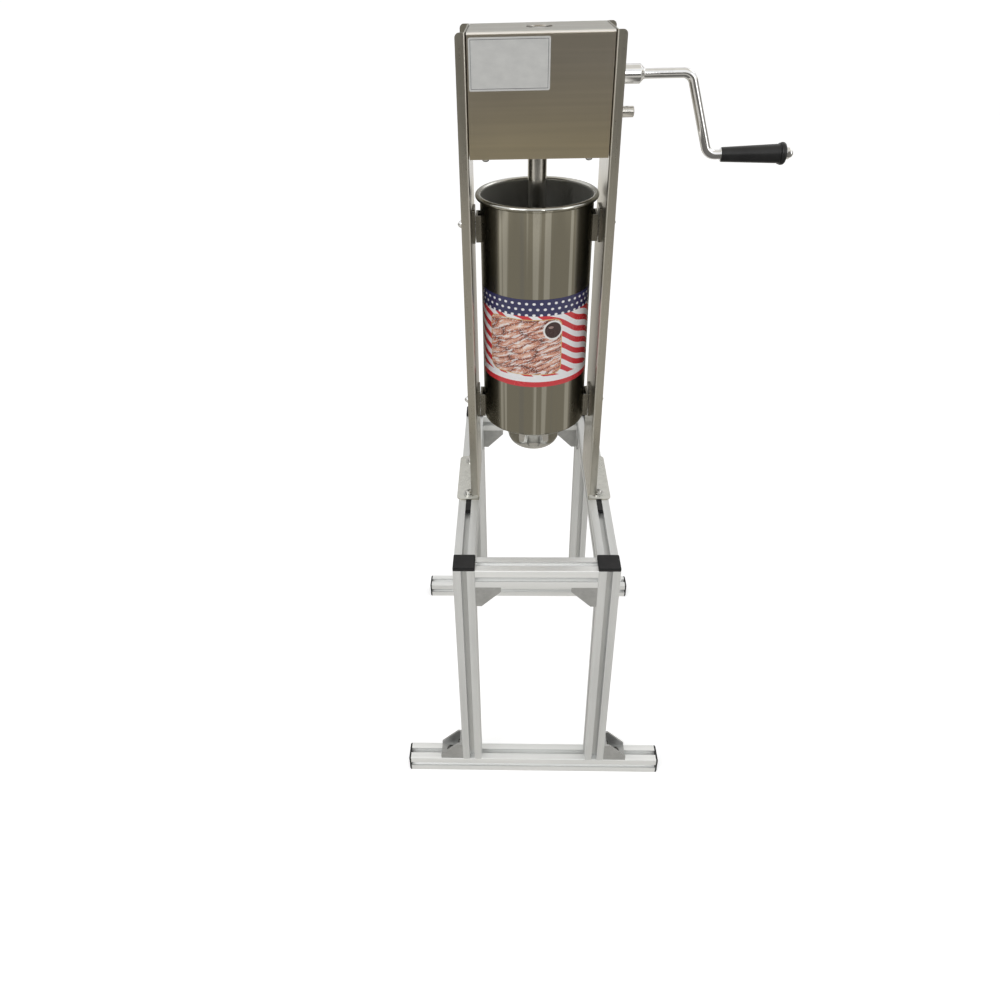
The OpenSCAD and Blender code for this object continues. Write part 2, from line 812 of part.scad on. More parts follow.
// The threaded spout is welded under the cylinder's floor
module outlet_spout() {
    relief = 1.2;
    groove_step = 3;
    grooves = floor((spout_len - 12) / groove_step);
    color(bright_steel) on_axis() translate([0, 0, spout_end]) rotate_extrude() difference() {
        translate([spout_bore / 2, 0]) square([(spout_d - spout_bore) / 2, spout_len]);
        for (turn = [1:grooves]) translate([spout_d / 2, turn * groove_step + 2])
            rotate(45) square(relief, center = true);
    }
}

// Places its child on the +X side and mirrored on the -X side, at both hanger levels
module at_hangers() {
    on_axis() for (z = hanger_levels, side = [0, 1])
        mirror([side, 0, 0]) translate([0, 0, z]) children();
}

// A small channel welded to the cylinder; its outer wall is a fork over the bolt's neck
module lug() {
    neck_r = hanger_neck_d / 2;
    drop = hanger_slot_r - neck_r;
    difference() {
        translate([0, -lug_w / 2, -lug_below]) cube([lug_out, lug_w, lug_above + lug_below]);
        translate([0, -lug_w / 2 + lug_t, -lug_below - 1])
            cube([lug_in, lug_w - 2 * lug_t, lug_above + lug_below + 2]);
        translate([0, 0, -lug_below - 1]) cylinder(h = lug_above + lug_below + 2, r = cyl_r);
        translate([lug_in - 1, 0, -drop]) along_x() cylinder(h = lug_t + 2, r = hanger_slot_r);
        translate([lug_in - 1, -hanger_slot_r, -lug_below - 1])
            cube([lug_t + 2, 2 * hanger_slot_r, lug_below + 1 - drop]);
    }
}

module cylinder_lugs() {
    color(bright_steel) at_hangers() lug();
}

module hanger_plates() {
    color(steel) at_hangers() translate([hanger_in, 0, 0]) along_x() difference() {
        linear_extrude(hanger_t) rounded_rect(hanger_w, hanger_h, 3);
        translate([0, 0, -1]) cylinder(h = hanger_t + 2, d = hanger_neck_d + 2 * pin_clear);
    }
}

// Head and neck inside the post, thread through the web into the acorn nut
module hanger_bolts() {
    thread_d = hanger_neck_d - 0.4 - 2 * pin_clear;
    head_x = lug_in - hanger_head_t - 0.2;
    color(zinc) at_hangers() along_x() {
        translate([0, 0, head_x]) cylinder(h = hanger_head_t, d = hanger_head_d);
        translate([0, 0, head_x]) cylinder(h = web_in - head_x, d = hanger_neck_d);
        translate([0, 0, web_in - eps]) cylinder(h = post_t + acorn_hex_h, d = thread_d);
    }
}

module acorn_nuts() {
    thread_d = hanger_neck_d - 0.4;
    dome_r = acorn_flats / 2 - 0.4;
    color(chrome) at_hangers() translate([web_out, 0, 0]) along_x() difference() {
        union() {
            linear_extrude(acorn_hex_h) hexagon(acorn_flats);
            translate([0, 0, acorn_hex_h]) intersection() {
                sphere(dome_r);
                cylinder(h = dome_r, r = dome_r);
            }
        }
        translate([0, 0, -1]) cylinder(h = acorn_hex_h + 2, d = thread_d);
    }
}

// ---------- outlet ----------

module star(r_out, r_in, points) {
    polygon([for (i = [0:2 * points - 1])
        let (r = i % 2 == 0 ? r_out : r_in, a = 180 * i / points) [r * cos(a), r * sin(a)]]);
}

module nozzle_plate() {
    color(bright_steel) on_axis() translate([0, 0, nozzle_z]) linear_extrude(nozzle_t - turn_gap / 2)
        difference() {
            circle(d = spout_d);
            for (turn = [0:120:240]) rotate(turn) translate([nozzle_ring, 0])
                star(nozzle_star, nozzle_star * 0.72, nozzle_points);
        }
}

// A bowl-shaped nut: threaded over the spout, closing in under the nozzle plate
module outlet_nut() {
    top = cyl_z - nut_gap - nut_z;
    shelf = nut_lip - turn_gap / 2;
    color(chrome) on_axis() translate([0, 0, nut_z]) rotate_extrude() difference() {
        union() {
            square([nut_d / 2 - nut_round, top]);
            translate([0, nut_round]) square([nut_d / 2, top - nut_round]);
            translate([nut_d / 2 - nut_round, nut_round]) intersection() {
                circle(nut_round);
                translate([0, -nut_round]) square(nut_round);
            }
        }
        translate([0, shelf]) square([nut_bore_r, top]);
        polygon([[0, -1], [nut_mouth / 2 + 2, -1], [nut_mouth / 2 + 1, 0], [nut_mouth / 2 - 1.5, shelf + eps],
                 [0, shelf + eps]]);
    }
}

// ---------- gear housing ----------

// Front, top and back are one folded sheet; the cheeks close its two sides
module housing_cover() {
    color(steel) on_axis() difference() {
        union() {
            translate([-cover_out, 0, 0]) along_x() linear_extrude(2 * cover_out) wrap_outline();
            for (x = [-1, 1]) translate([x * (cover_out - housing_t / 2), 0, housing_z + housing_h / 2 - 0.5])
                cube([housing_t, 2 * cover_y + eps, housing_h - housing_t - 1 + eps], center = true);
        }
        translate([0, 0, post_top - 2 * housing_t]) cylinder(h = 4 * housing_t, d = top_hole);
        at_shafts() cylinder(h = 8 * housing_t, d = shaft_hole_d, center = true);
        for (side = [0, 1]) mirror([side, 0, 0]) at_side_bolts()
            cylinder(h = 8 * housing_t, d = housing_bolt_d + 0.4, center = true);
    }
}

module wrap_outline() {
    mid_z = post_top - housing_h;
    difference() {
        translate([0, mid_z]) rounded_rect(post_depth, 2 * housing_h, housing_fold);
        translate([0, mid_z])
            rounded_rect(2 * cover_y, 2 * (housing_h - housing_t), housing_fold - housing_t);
        translate([-post_depth, mid_z - 2 * housing_h]) square([2 * post_depth, 2 * housing_h]);
    }
}

module housing_base() {
    half_x = cover_in - base_clear;
    half_y = cover_y - base_clear;
    color(steel) on_axis() difference() {
        translate([-half_x, -half_y, housing_z]) cube([2 * half_x, 2 * half_y, base_plate_t]);
        translate([0, 0, housing_z - 1]) cylinder(h = base_plate_t + 2, d = guide_d + 2 * pin_clear);
        at_base_screws() cylinder(h = 4 * base_plate_t, d = housing_bolt_d + 0.4, center = true);
    }
}

module at_base_screws() {
    for (x = [-1, 1], y = [-1, 1]) translate([x * base_screw_x, y * base_screw_y, housing_z]) children();
}

module base_screws() {
    color(zinc) on_axis() at_base_screws() mirror([0, 0, 1])
        button_bolt(housing_bolt_d, 11, 2.8, 0, base_plate_t + side_foot_t - 0.5);
}

// An upright plate with a foot turned inwards, bored for both shafts
module side_plate() {
    color(gear_steel) difference() {
        union() {
            translate([plate_in, -side_plate_half, plate_z])
                cube([side_plate_t, 2 * side_plate_half, side_plate_h]);
            translate([cover_in - side_foot, -side_plate_half, plate_z])
                cube([side_foot, 2 * side_plate_half, side_foot_t]);
        }
        for (z = [upper_z, lower_z]) translate([plate_in - 1, shaft_y, z]) along_x()
            cylinder(h = side_plate_t + 2, d = bush_d + 2 * pin_clear);
        at_side_bolts() cylinder(h = 8 * side_plate_t, d = housing_bolt_d + 0.4, center = true);
        at_base_screws() cylinder(h = 8 * side_foot_t, d = housing_bolt_d + 2 * pin_clear, center = true);
        translate([plate_in - 1, -tongue_w / 2, bridge_z]) cube([side_plate_t + 2, tongue_w, bridge_t]);
    }
}

module side_plate_left() { on_axis() mirror([1, 0, 0]) side_plate(); }
module side_plate_right() { on_axis() side_plate(); }

// Bolts through web, cover and side plate, with a nut inside
module side_bolts() {
    head_h = 4;
    nut_h = 5;
    inside = web_in - plate_in;
    color(zinc) on_axis() for (side = [0, 1]) mirror([side, 0, 0]) at_side_bolts() {
        translate([0, 0, post_t]) linear_extrude(head_h) hexagon(10);
        translate([0, 0, -inside - nut_h - 1])
            cylinder(h = inside + nut_h + 1 + post_t + eps, d = housing_bolt_d);
        translate([0, 0, -inside - nut_h]) linear_extrude(nut_h) hexagon(10);
    }
}

module shaft_bushes() {
    color(bronze) on_axis() for (side = [0, 1], z = [upper_z, lower_z]) mirror([side, 0, 0])
        translate([plate_in, shaft_y, z]) along_x() difference() {
            union() {
                translate([0, 0, -eps]) cylinder(h = side_plate_t + eps, d = bush_d);
                translate([0, 0, -bush_flange_t]) cylinder(h = bush_flange_t, d = bush_flange_d);
            }
            translate([0, 0, -bush_flange_t - 1])
                cylinder(h = side_plate_t + bush_flange_t + 2, d = shaft_d + 2 * shaft_clear);
        }
}

// Carries the upper guide; its tongues sit in the slots of the side plates
module guide_bridge() {
    color(gear_steel) on_axis() difference() {
        union() {
            translate([-plate_in, -bridge_half, bridge_z]) cube([2 * plate_in, 2 * bridge_half, bridge_t]);
            translate([-cover_in, -tongue_w / 2, bridge_z]) cube([2 * cover_in, tongue_w, bridge_t]);
        }
        translate([0, 0, bridge_z - 1]) cylinder(h = bridge_t + 2, d = guide_d + 2 * pin_clear);
    }
}

module guide_bush(h, flange_at) {
    color(bronze) difference() {
        union() {
            cylinder(h = h, d = guide_d);
            translate([0, 0, flange_at]) cylinder(h = guide_flange_t, d = guide_d + 10);
        }
        translate([0, 0, -1]) cylinder(h = h + 2, d = rod_d + 2 * guide_clear);
    }
}

module rod_guide_lower() {
    on_axis() translate([0, 0, housing_z]) guide_bush(lower_guide_h, base_plate_t);
}

module rod_guide_upper() {
    on_axis() translate([0, 0, bridge_z - guide_below])
        guide_bush(upper_guide_h + guide_below, bridge_t + guide_below);
}

// ---------- gears ----------

function involute(a) = tan(a) * 180 / PI - a;

// Half the angle of a tooth at radius r, for a tooth thinned by the play on its pitch circle
function half_tooth(r, pitch_r, base_r, teeth, angle) =
    90 / teeth - tooth_play / 4 / pitch_r * 180 / PI
    + involute(angle) - (r > base_r ? involute(acos(base_r / r)) : 0);

function tooth_points(turn, teeth, module_size, angle) =
    let (
        pitch_r = module_size * teeth / 2,
        base_r = pitch_r * cos(angle),
        root_r = pitch_r - 1.25 * module_size,
        tip_r = pitch_r + module_size,
        low_r = max(base_r, root_r + 0.3),
        radii = [root_r, low_r, (low_r + tip_r) / 2, tip_r],
        halves = [for (r = radii) half_tooth(r, pitch_r, base_r, teeth, angle)]
    ) concat(
        [for (i = [0:3]) [radii[i] * cos(turn - halves[i]), radii[i] * sin(turn - halves[i])]],
        [for (i = [3:-1:0]) [radii[i] * cos(turn + halves[i]), radii[i] * sin(turn + halves[i])]]
    );

module gear_outline(teeth, module_size, angle, first) {
    polygon([for (i = [0:teeth - 1])
        each tooth_points(first + i * 360 / teeth, teeth, module_size, angle)]);
}

// A gear from x to x + w with a pinned hub on the side that hub_side gives
module gear(x, w, teeth, module_size, angle, first, gear_hub_d, hub_side) {
    hub_x = hub_side < 0 ? x - gear_hub : x + w;
    color(gear_steel) difference() {
        union() {
            translate([x, 0, 0]) along_x() linear_extrude(w)
                gear_outline(teeth, module_size, angle, first);
            translate([hub_x - eps, 0, 0]) along_x() cylinder(h = gear_hub + 2 * eps, d = gear_hub_d);
        }
        translate([x - gear_hub - 1, 0, 0]) along_x()
            cylinder(h = w + 2 * gear_hub + 2, d = shaft_d + 2 * pin_clear);
        translate([hub_x + gear_hub / 2, 0, 0])
            cylinder(h = 2 * gear_hub_d, d = pin_d + 2 * pin_clear, center = true);
    }
}

module on_upper_shaft() { on_axis() translate([0, shaft_y, upper_z]) children(); }
module on_lower_shaft() { on_axis() translate([0, shaft_y, lower_z]) children(); }

small_hub_d = shaft_d + 6;
large_hub_d = shaft_d + 10;
pinion_hub_d = shaft_d + 7;
small_gear_x = -gear_x - small_gear_w / 2;
large_gear_x = -gear_x - large_gear_w / 2;
pinion_x = -pinion_w / 2;

// A gap of the small gear points down at a tooth of the large gear
module small_gear() {
    on_upper_shaft() gear(small_gear_x, small_gear_w, small_teeth, gear_module, gear_angle,
                          270 + 180 / small_teeth, small_hub_d, -1);
}

module large_gear() {
    gear_first = 90;
    on_lower_shaft() gear(large_gear_x, large_gear_w, large_teeth, gear_module, gear_angle,
                          gear_first, large_hub_d, -1);
}

// A tooth of the pinion points forwards into a gap of the rack
module rack_pinion() {
    on_lower_shaft() gear(pinion_x, pinion_w, pinion_teeth, rack_module, rack_angle,
                          180, pinion_hub_d, 1);
}

// Pin holes of a shaft, at the given places along it
module pin_holes(places) {
    for (x = places) translate([x, 0, 0])
        cylinder(h = 4 * shaft_d, d = pin_d + 2 * pin_clear, center = true);
}

// A shaft whose end outside the post is turned down for the crank
module shaft_rod(to) {
    chamfer = 1;
    len = to + shaft_left;
    shoulder = shoulder_x + shaft_left;
    translate([-shaft_left, 0, 0]) along_x() rotate_extrude() polygon([
        [0, 0], [shaft_d / 2 - chamfer, 0], [shaft_d / 2, chamfer], [shaft_d / 2, shoulder],
        [shaft_end_d / 2, shoulder], [shaft_end_d / 2, len - chamfer],
        [shaft_end_d / 2 - chamfer, len], [0, len]
    ]);
}

collar_mid = collar_at + collar_w / 2;
upper_pin_places = [small_gear_x - gear_hub / 2, -collar_mid, collar_mid];
lower_pin_places = [large_gear_x - gear_hub / 2, pinion_x + pinion_w + gear_hub / 2,
                    -collar_mid, collar_mid];
crank_pin_x = cone_start - 12;
lower_shaft_end = web_out + shaft_reach;

module upper_shaft() {
    color(bright_steel) on_upper_shaft() difference() {
        shaft_rod(cone_start - 3);
        pin_holes(concat(upper_pin_places, [crank_pin_x]));
    }
}

// The lower shaft's free end takes the crank for the second speed
module lower_shaft() {
    color(bright_steel) on_lower_shaft() difference() {
        shaft_rod(lower_shaft_end);
        pin_holes(concat(lower_pin_places, [lower_shaft_end - 9]));
    }
}

module collars() {
    for (side = [0, 1]) mirror([side, 0, 0]) difference() {
        translate([collar_at, 0, 0]) along_x() cylinder(h = collar_w, d = collar_d);
        translate([collar_at - 1, 0, 0]) along_x()
            cylinder(h = collar_w + 2, d = shaft_d + 2 * pin_clear);
        pin_holes([collar_mid]);
    }
}

module upper_collars() { color(gear_steel) on_upper_shaft() collars(); }
module lower_collars() { color(gear_steel) on_lower_shaft() collars(); }

module pin(x, len) {
    translate([x, 0, 0]) cylinder(h = len, d = pin_d, center = true);
}

module upper_pins() {
    color(zinc) on_upper_shaft() {
        pin(upper_pin_places[0], small_hub_d - 1);
        pin(upper_pin_places[1], collar_d - 1);
        pin(upper_pin_places[2], collar_d - 1);
        pin(crank_pin_x, hub_d - 0.4);
    }
}

module lower_pins() {
    color(zinc) on_lower_shaft() {
        pin(lower_pin_places[0], large_hub_d - 1);
        pin(lower_pin_places[1], pinion_hub_d - 1);
        pin(lower_pin_places[2], collar_d - 1);
        pin(lower_pin_places[3], collar_d - 1);
    }
}

// ---------- rack rod and piston ----------

// One gap of the rack in YZ, centred on the pitch line and open towards +Y
module rack_gap() {
    tip = rack_tip + 1 - rack_pitch_y;
    root = rack_pitch_y - rack_root_y;
    half = rack_pitch / 4 + tooth_play / 4;
    slope = tan(rack_angle);
    polygon([
        [tip, half + tip * slope], [tip, -half - tip * slope],
        [-root, -half + root * slope], [-root, half - root * slope]
    ]);
}

// A round rod with a flat along its back, cut with rack teeth, and a threaded lower end
module rack_rod() {
    toothed_low = lower_z + (rack_first - 0.5) * rack_pitch;
    toothed_len = (rack_steps + 1) * rack_pitch;
    color(chrome) on_axis() difference() {
        union() {
            translate([0, 0, piston_top]) cylinder(h = rod_top - piston_top - 1.5, d = rod_d);
            translate([0, 0, rod_top - 1.5 - eps]) cylinder(h = 1.5 + eps, d1 = rod_d, d2 = rod_d - 3);
            translate([0, 0, piston_z - rod_end_len])
                cylinder(h = piston_t + rod_end_len + eps, d = rod_end_d);
        }
        translate([-rod_d, rack_tip, toothed_low]) cube([2 * rod_d, rod_d, toothed_len]);
        for (step = [0:rack_steps])
            translate([-rod_d, rack_pitch_y, lower_z + (rack_first + step) * rack_pitch])
                along_x() linear_extrude(2 * rod_d) rack_gap();
        translate([0, 0, rod_top - 8]) cylinder(h = 10, d = 5);
    }
}

module piston() {
    boss_d = rod_d + 16;
    boss_h = 6;
    color(bright_steel) on_axis() translate([0, 0, piston_z]) rotate_extrude() difference() {
        union() {
            translate([rod_end_d / 2 + pin_clear, 0])
                square([piston_r - rod_end_d / 2 - pin_clear, piston_t]);
            translate([rod_r + pin_clear, piston_t - eps])
                square([boss_d / 2 - rod_r - pin_clear, boss_h + eps]);
        }
        translate([seal_r - seal_groove, (piston_t - seal_h) / 2]) square([seal_groove, seal_h]);
    }
}

module piston_seal() {
    color(seal_grey) on_axis() translate([0, 0, piston_z + (piston_t - seal_h) / 2]) rotate_extrude()
        translate([seal_r - seal_groove, 0]) union() {
            square([seal_groove - 1, seal_h]);
            translate([0, 1]) square([seal_groove, seal_h - 2]);
        }
}

module piston_nut() {
    color(zinc) on_axis() translate([0, 0, piston_z - piston_nut_h]) difference() {
        linear_extrude(piston_nut_h) hexagon(piston_nut_flats);
        translate([0, 0, -1]) cylinder(h = piston_nut_h + 2, d = rod_end_d + 2 * pin_clear);
    }
}

// A small screw cap on the piston that lets air out while the plunger goes down
module air_valve() {
    color(chrome) on_axis() translate([valve_at, 0, piston_top]) {
        cylinder(h = 5, r = valve_r + 2);
        translate([0, 0, 5 - eps]) cylinder(h = 4, r = valve_r);
    }
}

// ---------- crank and grip ----------

// The arm lies in the XZ plane through the upper shaft and hangs down
module crank_arm() {
    arm_len = sqrt(arm_run * arm_run + crank_throw * crank_throw) - 2 * bend_len;
    color(chrome) on_upper_shaft() {
        difference() {
            translate([hub_start, 0, 0]) along_x() rotate_extrude() hub_outline();
            pin_holes([crank_pin_x]);
        }
        rod_piece([rod_start, 0, 0], 0, bend_x - bend_len - rod_start);
        translate([bend_x - bend_len, 0, -crank_bend]) bend(90);
        rod_piece([bend_x + bend_len * cos(arm_angle), 0, -bend_len * sin(arm_angle)], arm_angle, arm_len);
        translate([low_bend_x + bend_len, 0, crank_bend - crank_throw]) bend(-90);
        rod_piece([low_bend_x + bend_len, 0, -crank_throw], 0,
                  spindle_start - low_bend_x - bend_len - rod_into);
        translate([spindle_start, 0, -crank_throw]) along_x()
            cylinder(h = spindle_end - spindle_start + end_nut_grip, d = spindle_d);
    }
}

// Half section of the hub with its blind bore and the cone down to the rod
module hub_outline() {
    bore = shaft_end_d / 2 + pin_clear;
    polygon([
        [bore, 0], [hub_d / 2, 0], [hub_d / 2, hub_len], [crank_rod_d / 2, hub_len + hub_cone],
        [0, hub_len + hub_cone], [0, hub_len - 3], [bore, hub_len - 3]
    ]);
}

// A straight stretch of the crank's rod from a point, dipping by an angle below +X.
// It is slightly thinner than the bends and runs a little way into them.
module rod_piece(from, dip, len) {
    step = 0.1;
    translate(from) rotate([0, dip, 0]) translate([-rod_into, 0, 0]) along_x()
        cylinder(h = len + 2 * rod_into, d = crank_rod_d - 2 * step);
}

// A bend of the crank's rod in XZ round the origin, from straight up (90) or down (-90)
module bend(from) {
    rotate([90, 0, 0]) rotate(from - arm_angle) rotate_extrude(angle = arm_angle)
        translate([crank_bend, 0]) circle(d = crank_rod_d);
}

module on_grip_axis() {
    on_axis() translate([grip_x, shaft_y, crank_low_z]) along_x() children();
}

// A tapering grip with a rounded collar at its outer end
module grip() {
    body_len = grip_len - grip_collar_w;
    collar_r = grip_collar_d / 2;
    edge = grip_collar_w / 2;
    color(black) on_grip_axis() rotate_extrude() difference() {
        union() {
            polygon([
                [0, 0], [grip_thin_d / 2 - 1, 0], [grip_thin_d / 2, 1],
                [grip_thick_d / 2, body_len], [grip_thick_d / 2, grip_len], [0, grip_len]
            ]);
            translate([collar_r - edge, body_len + edge]) circle(edge);
            translate([0, body_len]) square([collar_r - edge, grip_collar_w]);
        }
        translate([-grip_len, -1]) square([grip_len + spindle_d / 2 + grip_clear, grip_len + 2]);
    }
}

module grip_washers() {
    places = [-turn_gap - grip_washer_t, grip_len + turn_gap];
    color(chrome) on_grip_axis() for (z = places) translate([0, 0, z]) difference() {
        cylinder(h = grip_washer_t, d = grip_thin_d - 2);
        translate([0, 0, -1]) cylinder(h = grip_washer_t + 2, d = spindle_d + 2 * pin_clear);
    }
}

module grip_end_nut() {
    start = grip_len + turn_gap + grip_washer_t;
    hex_h = end_nut_len * 0.45;
    dome_d = end_nut_d * 0.84;
    color(chrome) on_grip_axis() translate([0, 0, start]) difference() {
        union() {
            linear_extrude(hex_h) hexagon(end_nut_d * sqrt(3) / 2);
            translate([0, 0, hex_h - eps]) rotate_extrude() polygon([
                [0, 0], [dome_d / 2, 0], [dome_d / 2, (end_nut_len - hex_h) * 0.45],
                [dome_d * 0.38, (end_nut_len - hex_h) * 0.8], [dome_d * 0.2, end_nut_len - hex_h],
                [0, end_nut_len - hex_h]
            ]);
        }
        translate([0, 0, -1]) cylinder(h = end_nut_grip + 2, d = spindle_d + 2 * pin_clear);
    }
}

base_bar_front();
base_bar_rear();
leg_front_left();
leg_front_right();
leg_rear_left();
leg_rear_right();
side_rail_left();
side_rail_right();
cross_rail_front();
cross_rail_rear();
base_bar_caps();
leg_caps();
base_brackets();
cross_brackets();
side_brackets();
bracket_bolts();
slot_nuts();
post_left();
post_right();
foot_bolts();
foot_washers();
foot_nut_bars();
housing_cover();
housing_base();
base_screws();
side_plate_left();
side_plate_right();
side_bolts();
shaft_bushes();
guide_bridge();
rod_guide_lower();
rod_guide_upper();
dough_cylinder();
outlet_spout();
cylinder_lugs();
hanger_plates();
hanger_bolts();
acorn_nuts();
upper_shaft();
small_gear();
upper_collars();
upper_pins();
crank_arm();
grip_washers();
grip_end_nut();
grip();
lower_shaft();
large_gear();
rack_pinion();
lower_collars();
lower_pins();
rack_rod();
piston();
piston_seal();
piston_nut();
air_valve();
nozzle_plate();
outlet_nut();
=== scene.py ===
"""Looks of an upright hand-cranked churro maker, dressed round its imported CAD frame.

Lengths are in metres and the frame is the CAD's: X towards the crank, Y towards the back, Z up.
"""

import logging
import math
from dataclasses import dataclass, field, replace
from enum import Enum
from typing import Any, Iterable, Sequence

import bpy
import numpy as np
from mathutils import Matrix, Vector


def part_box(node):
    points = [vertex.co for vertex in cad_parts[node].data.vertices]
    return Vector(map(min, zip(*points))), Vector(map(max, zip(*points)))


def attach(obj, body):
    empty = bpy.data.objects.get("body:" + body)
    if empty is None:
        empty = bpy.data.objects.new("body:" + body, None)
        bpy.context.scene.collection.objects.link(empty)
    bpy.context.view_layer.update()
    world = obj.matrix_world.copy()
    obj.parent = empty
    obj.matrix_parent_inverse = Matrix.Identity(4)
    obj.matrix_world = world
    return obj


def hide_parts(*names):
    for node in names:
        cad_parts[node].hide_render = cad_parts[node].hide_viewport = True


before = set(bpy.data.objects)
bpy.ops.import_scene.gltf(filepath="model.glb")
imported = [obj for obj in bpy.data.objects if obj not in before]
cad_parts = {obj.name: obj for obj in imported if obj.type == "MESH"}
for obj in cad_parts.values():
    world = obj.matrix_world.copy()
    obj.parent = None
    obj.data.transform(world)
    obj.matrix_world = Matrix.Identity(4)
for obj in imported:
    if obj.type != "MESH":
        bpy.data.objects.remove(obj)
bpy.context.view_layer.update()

AXIS_X = -0.0587
"""Where the machine's middle lies: the frame's origin is under the middle of the whole object."""

log = logging.getLogger("churro_maker")

Triple = tuple[float, float, float]
Colour = tuple[float, float, float]
Shell = tuple[np.ndarray, list[list[int]]]
Material = bpy.types.Material
Socket = bpy.types.NodeSocket


class Axis(Enum):
    """The direction that a bar, a revolved piece or a metal's grain runs in."""

    X = 0
    Y = 1
    Z = 2


EVEN: Triple = (1.0, 1.0, 1.0)
ALONG: dict[Axis, Triple] = {
    Axis.X: (0.02, 1.0, 1.0), Axis.Y: (1.0, 0.02, 1.0), Axis.Z: (1.0, 1.0, 0.02)}
"""Stretches of a noise that draw it out along an axis."""


# ---------------------------------------------------------------- surfaces


def circle(count: int) -> tuple[np.ndarray, np.ndarray]:
    """Cosines and sines of evenly spaced angles round a circle."""
    angle = np.linspace(0, 2 * math.pi, count, endpoint=False)
    return np.cos(angle), np.sin(angle)


def filleted(corners: Sequence[Triple], closed: bool, steps: int = 6) -> np.ndarray:
    """Rounds the corners of a flat outline by arcs that start r / tan(half the angle) before them.

    Args:
        corners: Points (a, b, r) in order; r is 0 for a corner that stays sharp.
        closed: Whether the last point joins the first.
        steps: Pieces in each arc.

    Returns:
        The outline as an (n, 2) array.
    """
    pts = np.array(corners, float)
    count = len(pts)
    out: list[np.ndarray] = []
    for i in range(count):
        here, radius = pts[i, :2], pts[i, 2]
        if radius <= 0 or (not closed and i in (0, count - 1)):
            out.append(here[None, :])
            continue
        to_prev, to_next = pts[i - 1, :2] - here, pts[(i + 1) % count, :2] - here
        to_prev /= np.linalg.norm(to_prev)
        to_next /= np.linalg.norm(to_next)
        half = math.acos(float(np.clip(to_prev @ to_next, -1, 1))) / 2
        bisector = (to_prev + to_next) / np.linalg.norm(to_prev + to_next)
        centre = here + bisector * radius / math.sin(half)
        first = here + to_prev * radius / math.tan(half) - centre
        last = here + to_next * radius / math.tan(half) - centre
        start = math.atan2(first[1], first[0])
        turn = (math.atan2(last[1], last[0]) - start + math.pi) % (2 * math.pi) - math.pi
        angles = start + turn * np.linspace(0, 1, steps + 1)
        out.append(centre + radius * np.stack([np.cos(angles), np.sin(angles)], axis=1))
    return np.concatenate(out)


def supported(outline: np.ndarray, closed: bool, gap: float = 0.0008) -> np.ndarray:
    """Adds points close to both ends of each long side, which keeps its shading straight.

    Args:
        outline: (n, k) points in order.
        closed: Whether the last point joins the first.
        gap: How far in the added points lie; sides shorter than four gaps stay as they are.

    Returns:
        The outline with the added points.
    """
    nxt = np.roll(outline, -1, axis=0)
    span = np.linalg.norm(nxt - outline, axis=1)
    out: list[np.ndarray] = []
    for i, (here, there, length) in enumerate(zip(outline, nxt, span)):
        out.append(here)
        if length > 4 * gap and (closed or i < len(outline) - 1):
            step = (there - here) * gap / length
            out += [here + step, there - step]
    return np.array(out)


def grid_faces(rows: int, cols: int, closed: bool = False) -> np.ndarray:
    """The four-cornered faces between rings of points that are numbered ring by ring.

    Args:
        rows: How many rings there are.
        cols: Points in each ring.
        closed: Whether the last ring joins the first.

    Returns:
        An (n, 4) array of point numbers.
    """
    r = np.arange(rows if closed else rows - 1)[:, None]
    c = np.arange(cols)[None, :]
    r1, c1 = (r + 1) % rows, (c + 1) % cols
    corners = [r * cols + c, r * cols + c1, r1 * cols + c1, r1 * cols + c]
    return np.stack(corners, axis=-1).reshape(-1, 4)


def ringed(rings: np.ndarray, poles: np.ndarray | None = None) -> Shell:
    """A closed surface through rings of points.

    Args:
        rings: (n, m, 3) places.
        poles: (2, 3) places that close the first and the last ring; None if those two join.

    Returns:
        Points and faces.
    """
    rows, cols = rings.shape[:2]
    points = rings.reshape(-1, 3)
    faces = grid_faces(rows, cols, poles is None).tolist()
    if poles is not None:
        k = np.arange(cols)
        nxt, last = (k + 1) % cols, (rows - 1) * cols
        faces += np.stack([np.full(cols, len(points)), nxt, k], 1).tolist()
        faces += np.stack([np.full(cols, len(points) + 1), last + k, last + nxt], 1).tolist()
        points = np.concatenate([points, poles])
    return points, faces


def turned(outline: np.ndarray, centre: Triple, axis: Axis, closed: bool,
           turns: int = 128) -> Shell:
    """A surface of revolution: (r, h) at angle t lies r (cos t, sin t) across the axis, h along it.

    Args:
        outline: (n, 2) radii and heights; one that isn't closed starts and ends on the axis.
        centre: Where the axis starts.
        axis: The direction of the heights.
        closed: Whether the outline is a ring's section.
        turns: Points round the axis.

    Returns:
        Points and faces.
    """
    cos_t, sin_t = circle(turns)
    outline = supported(outline, closed)
    ring = outline if closed else outline[1:-1]
    pts = np.zeros((len(ring), turns, 3))
    pts[..., (axis.value + 1) % 3] = ring[:, :1] * cos_t
    pts[..., (axis.value + 2) % 3] = ring[:, :1] * sin_t
    pts[..., axis.value] = ring[:, 1:]
    poles = np.zeros((2, 3))
    poles[:, axis.value] = outline[[0, -1], 1]
    return ringed(pts + np.array(centre), None if closed else poles + np.array(centre))


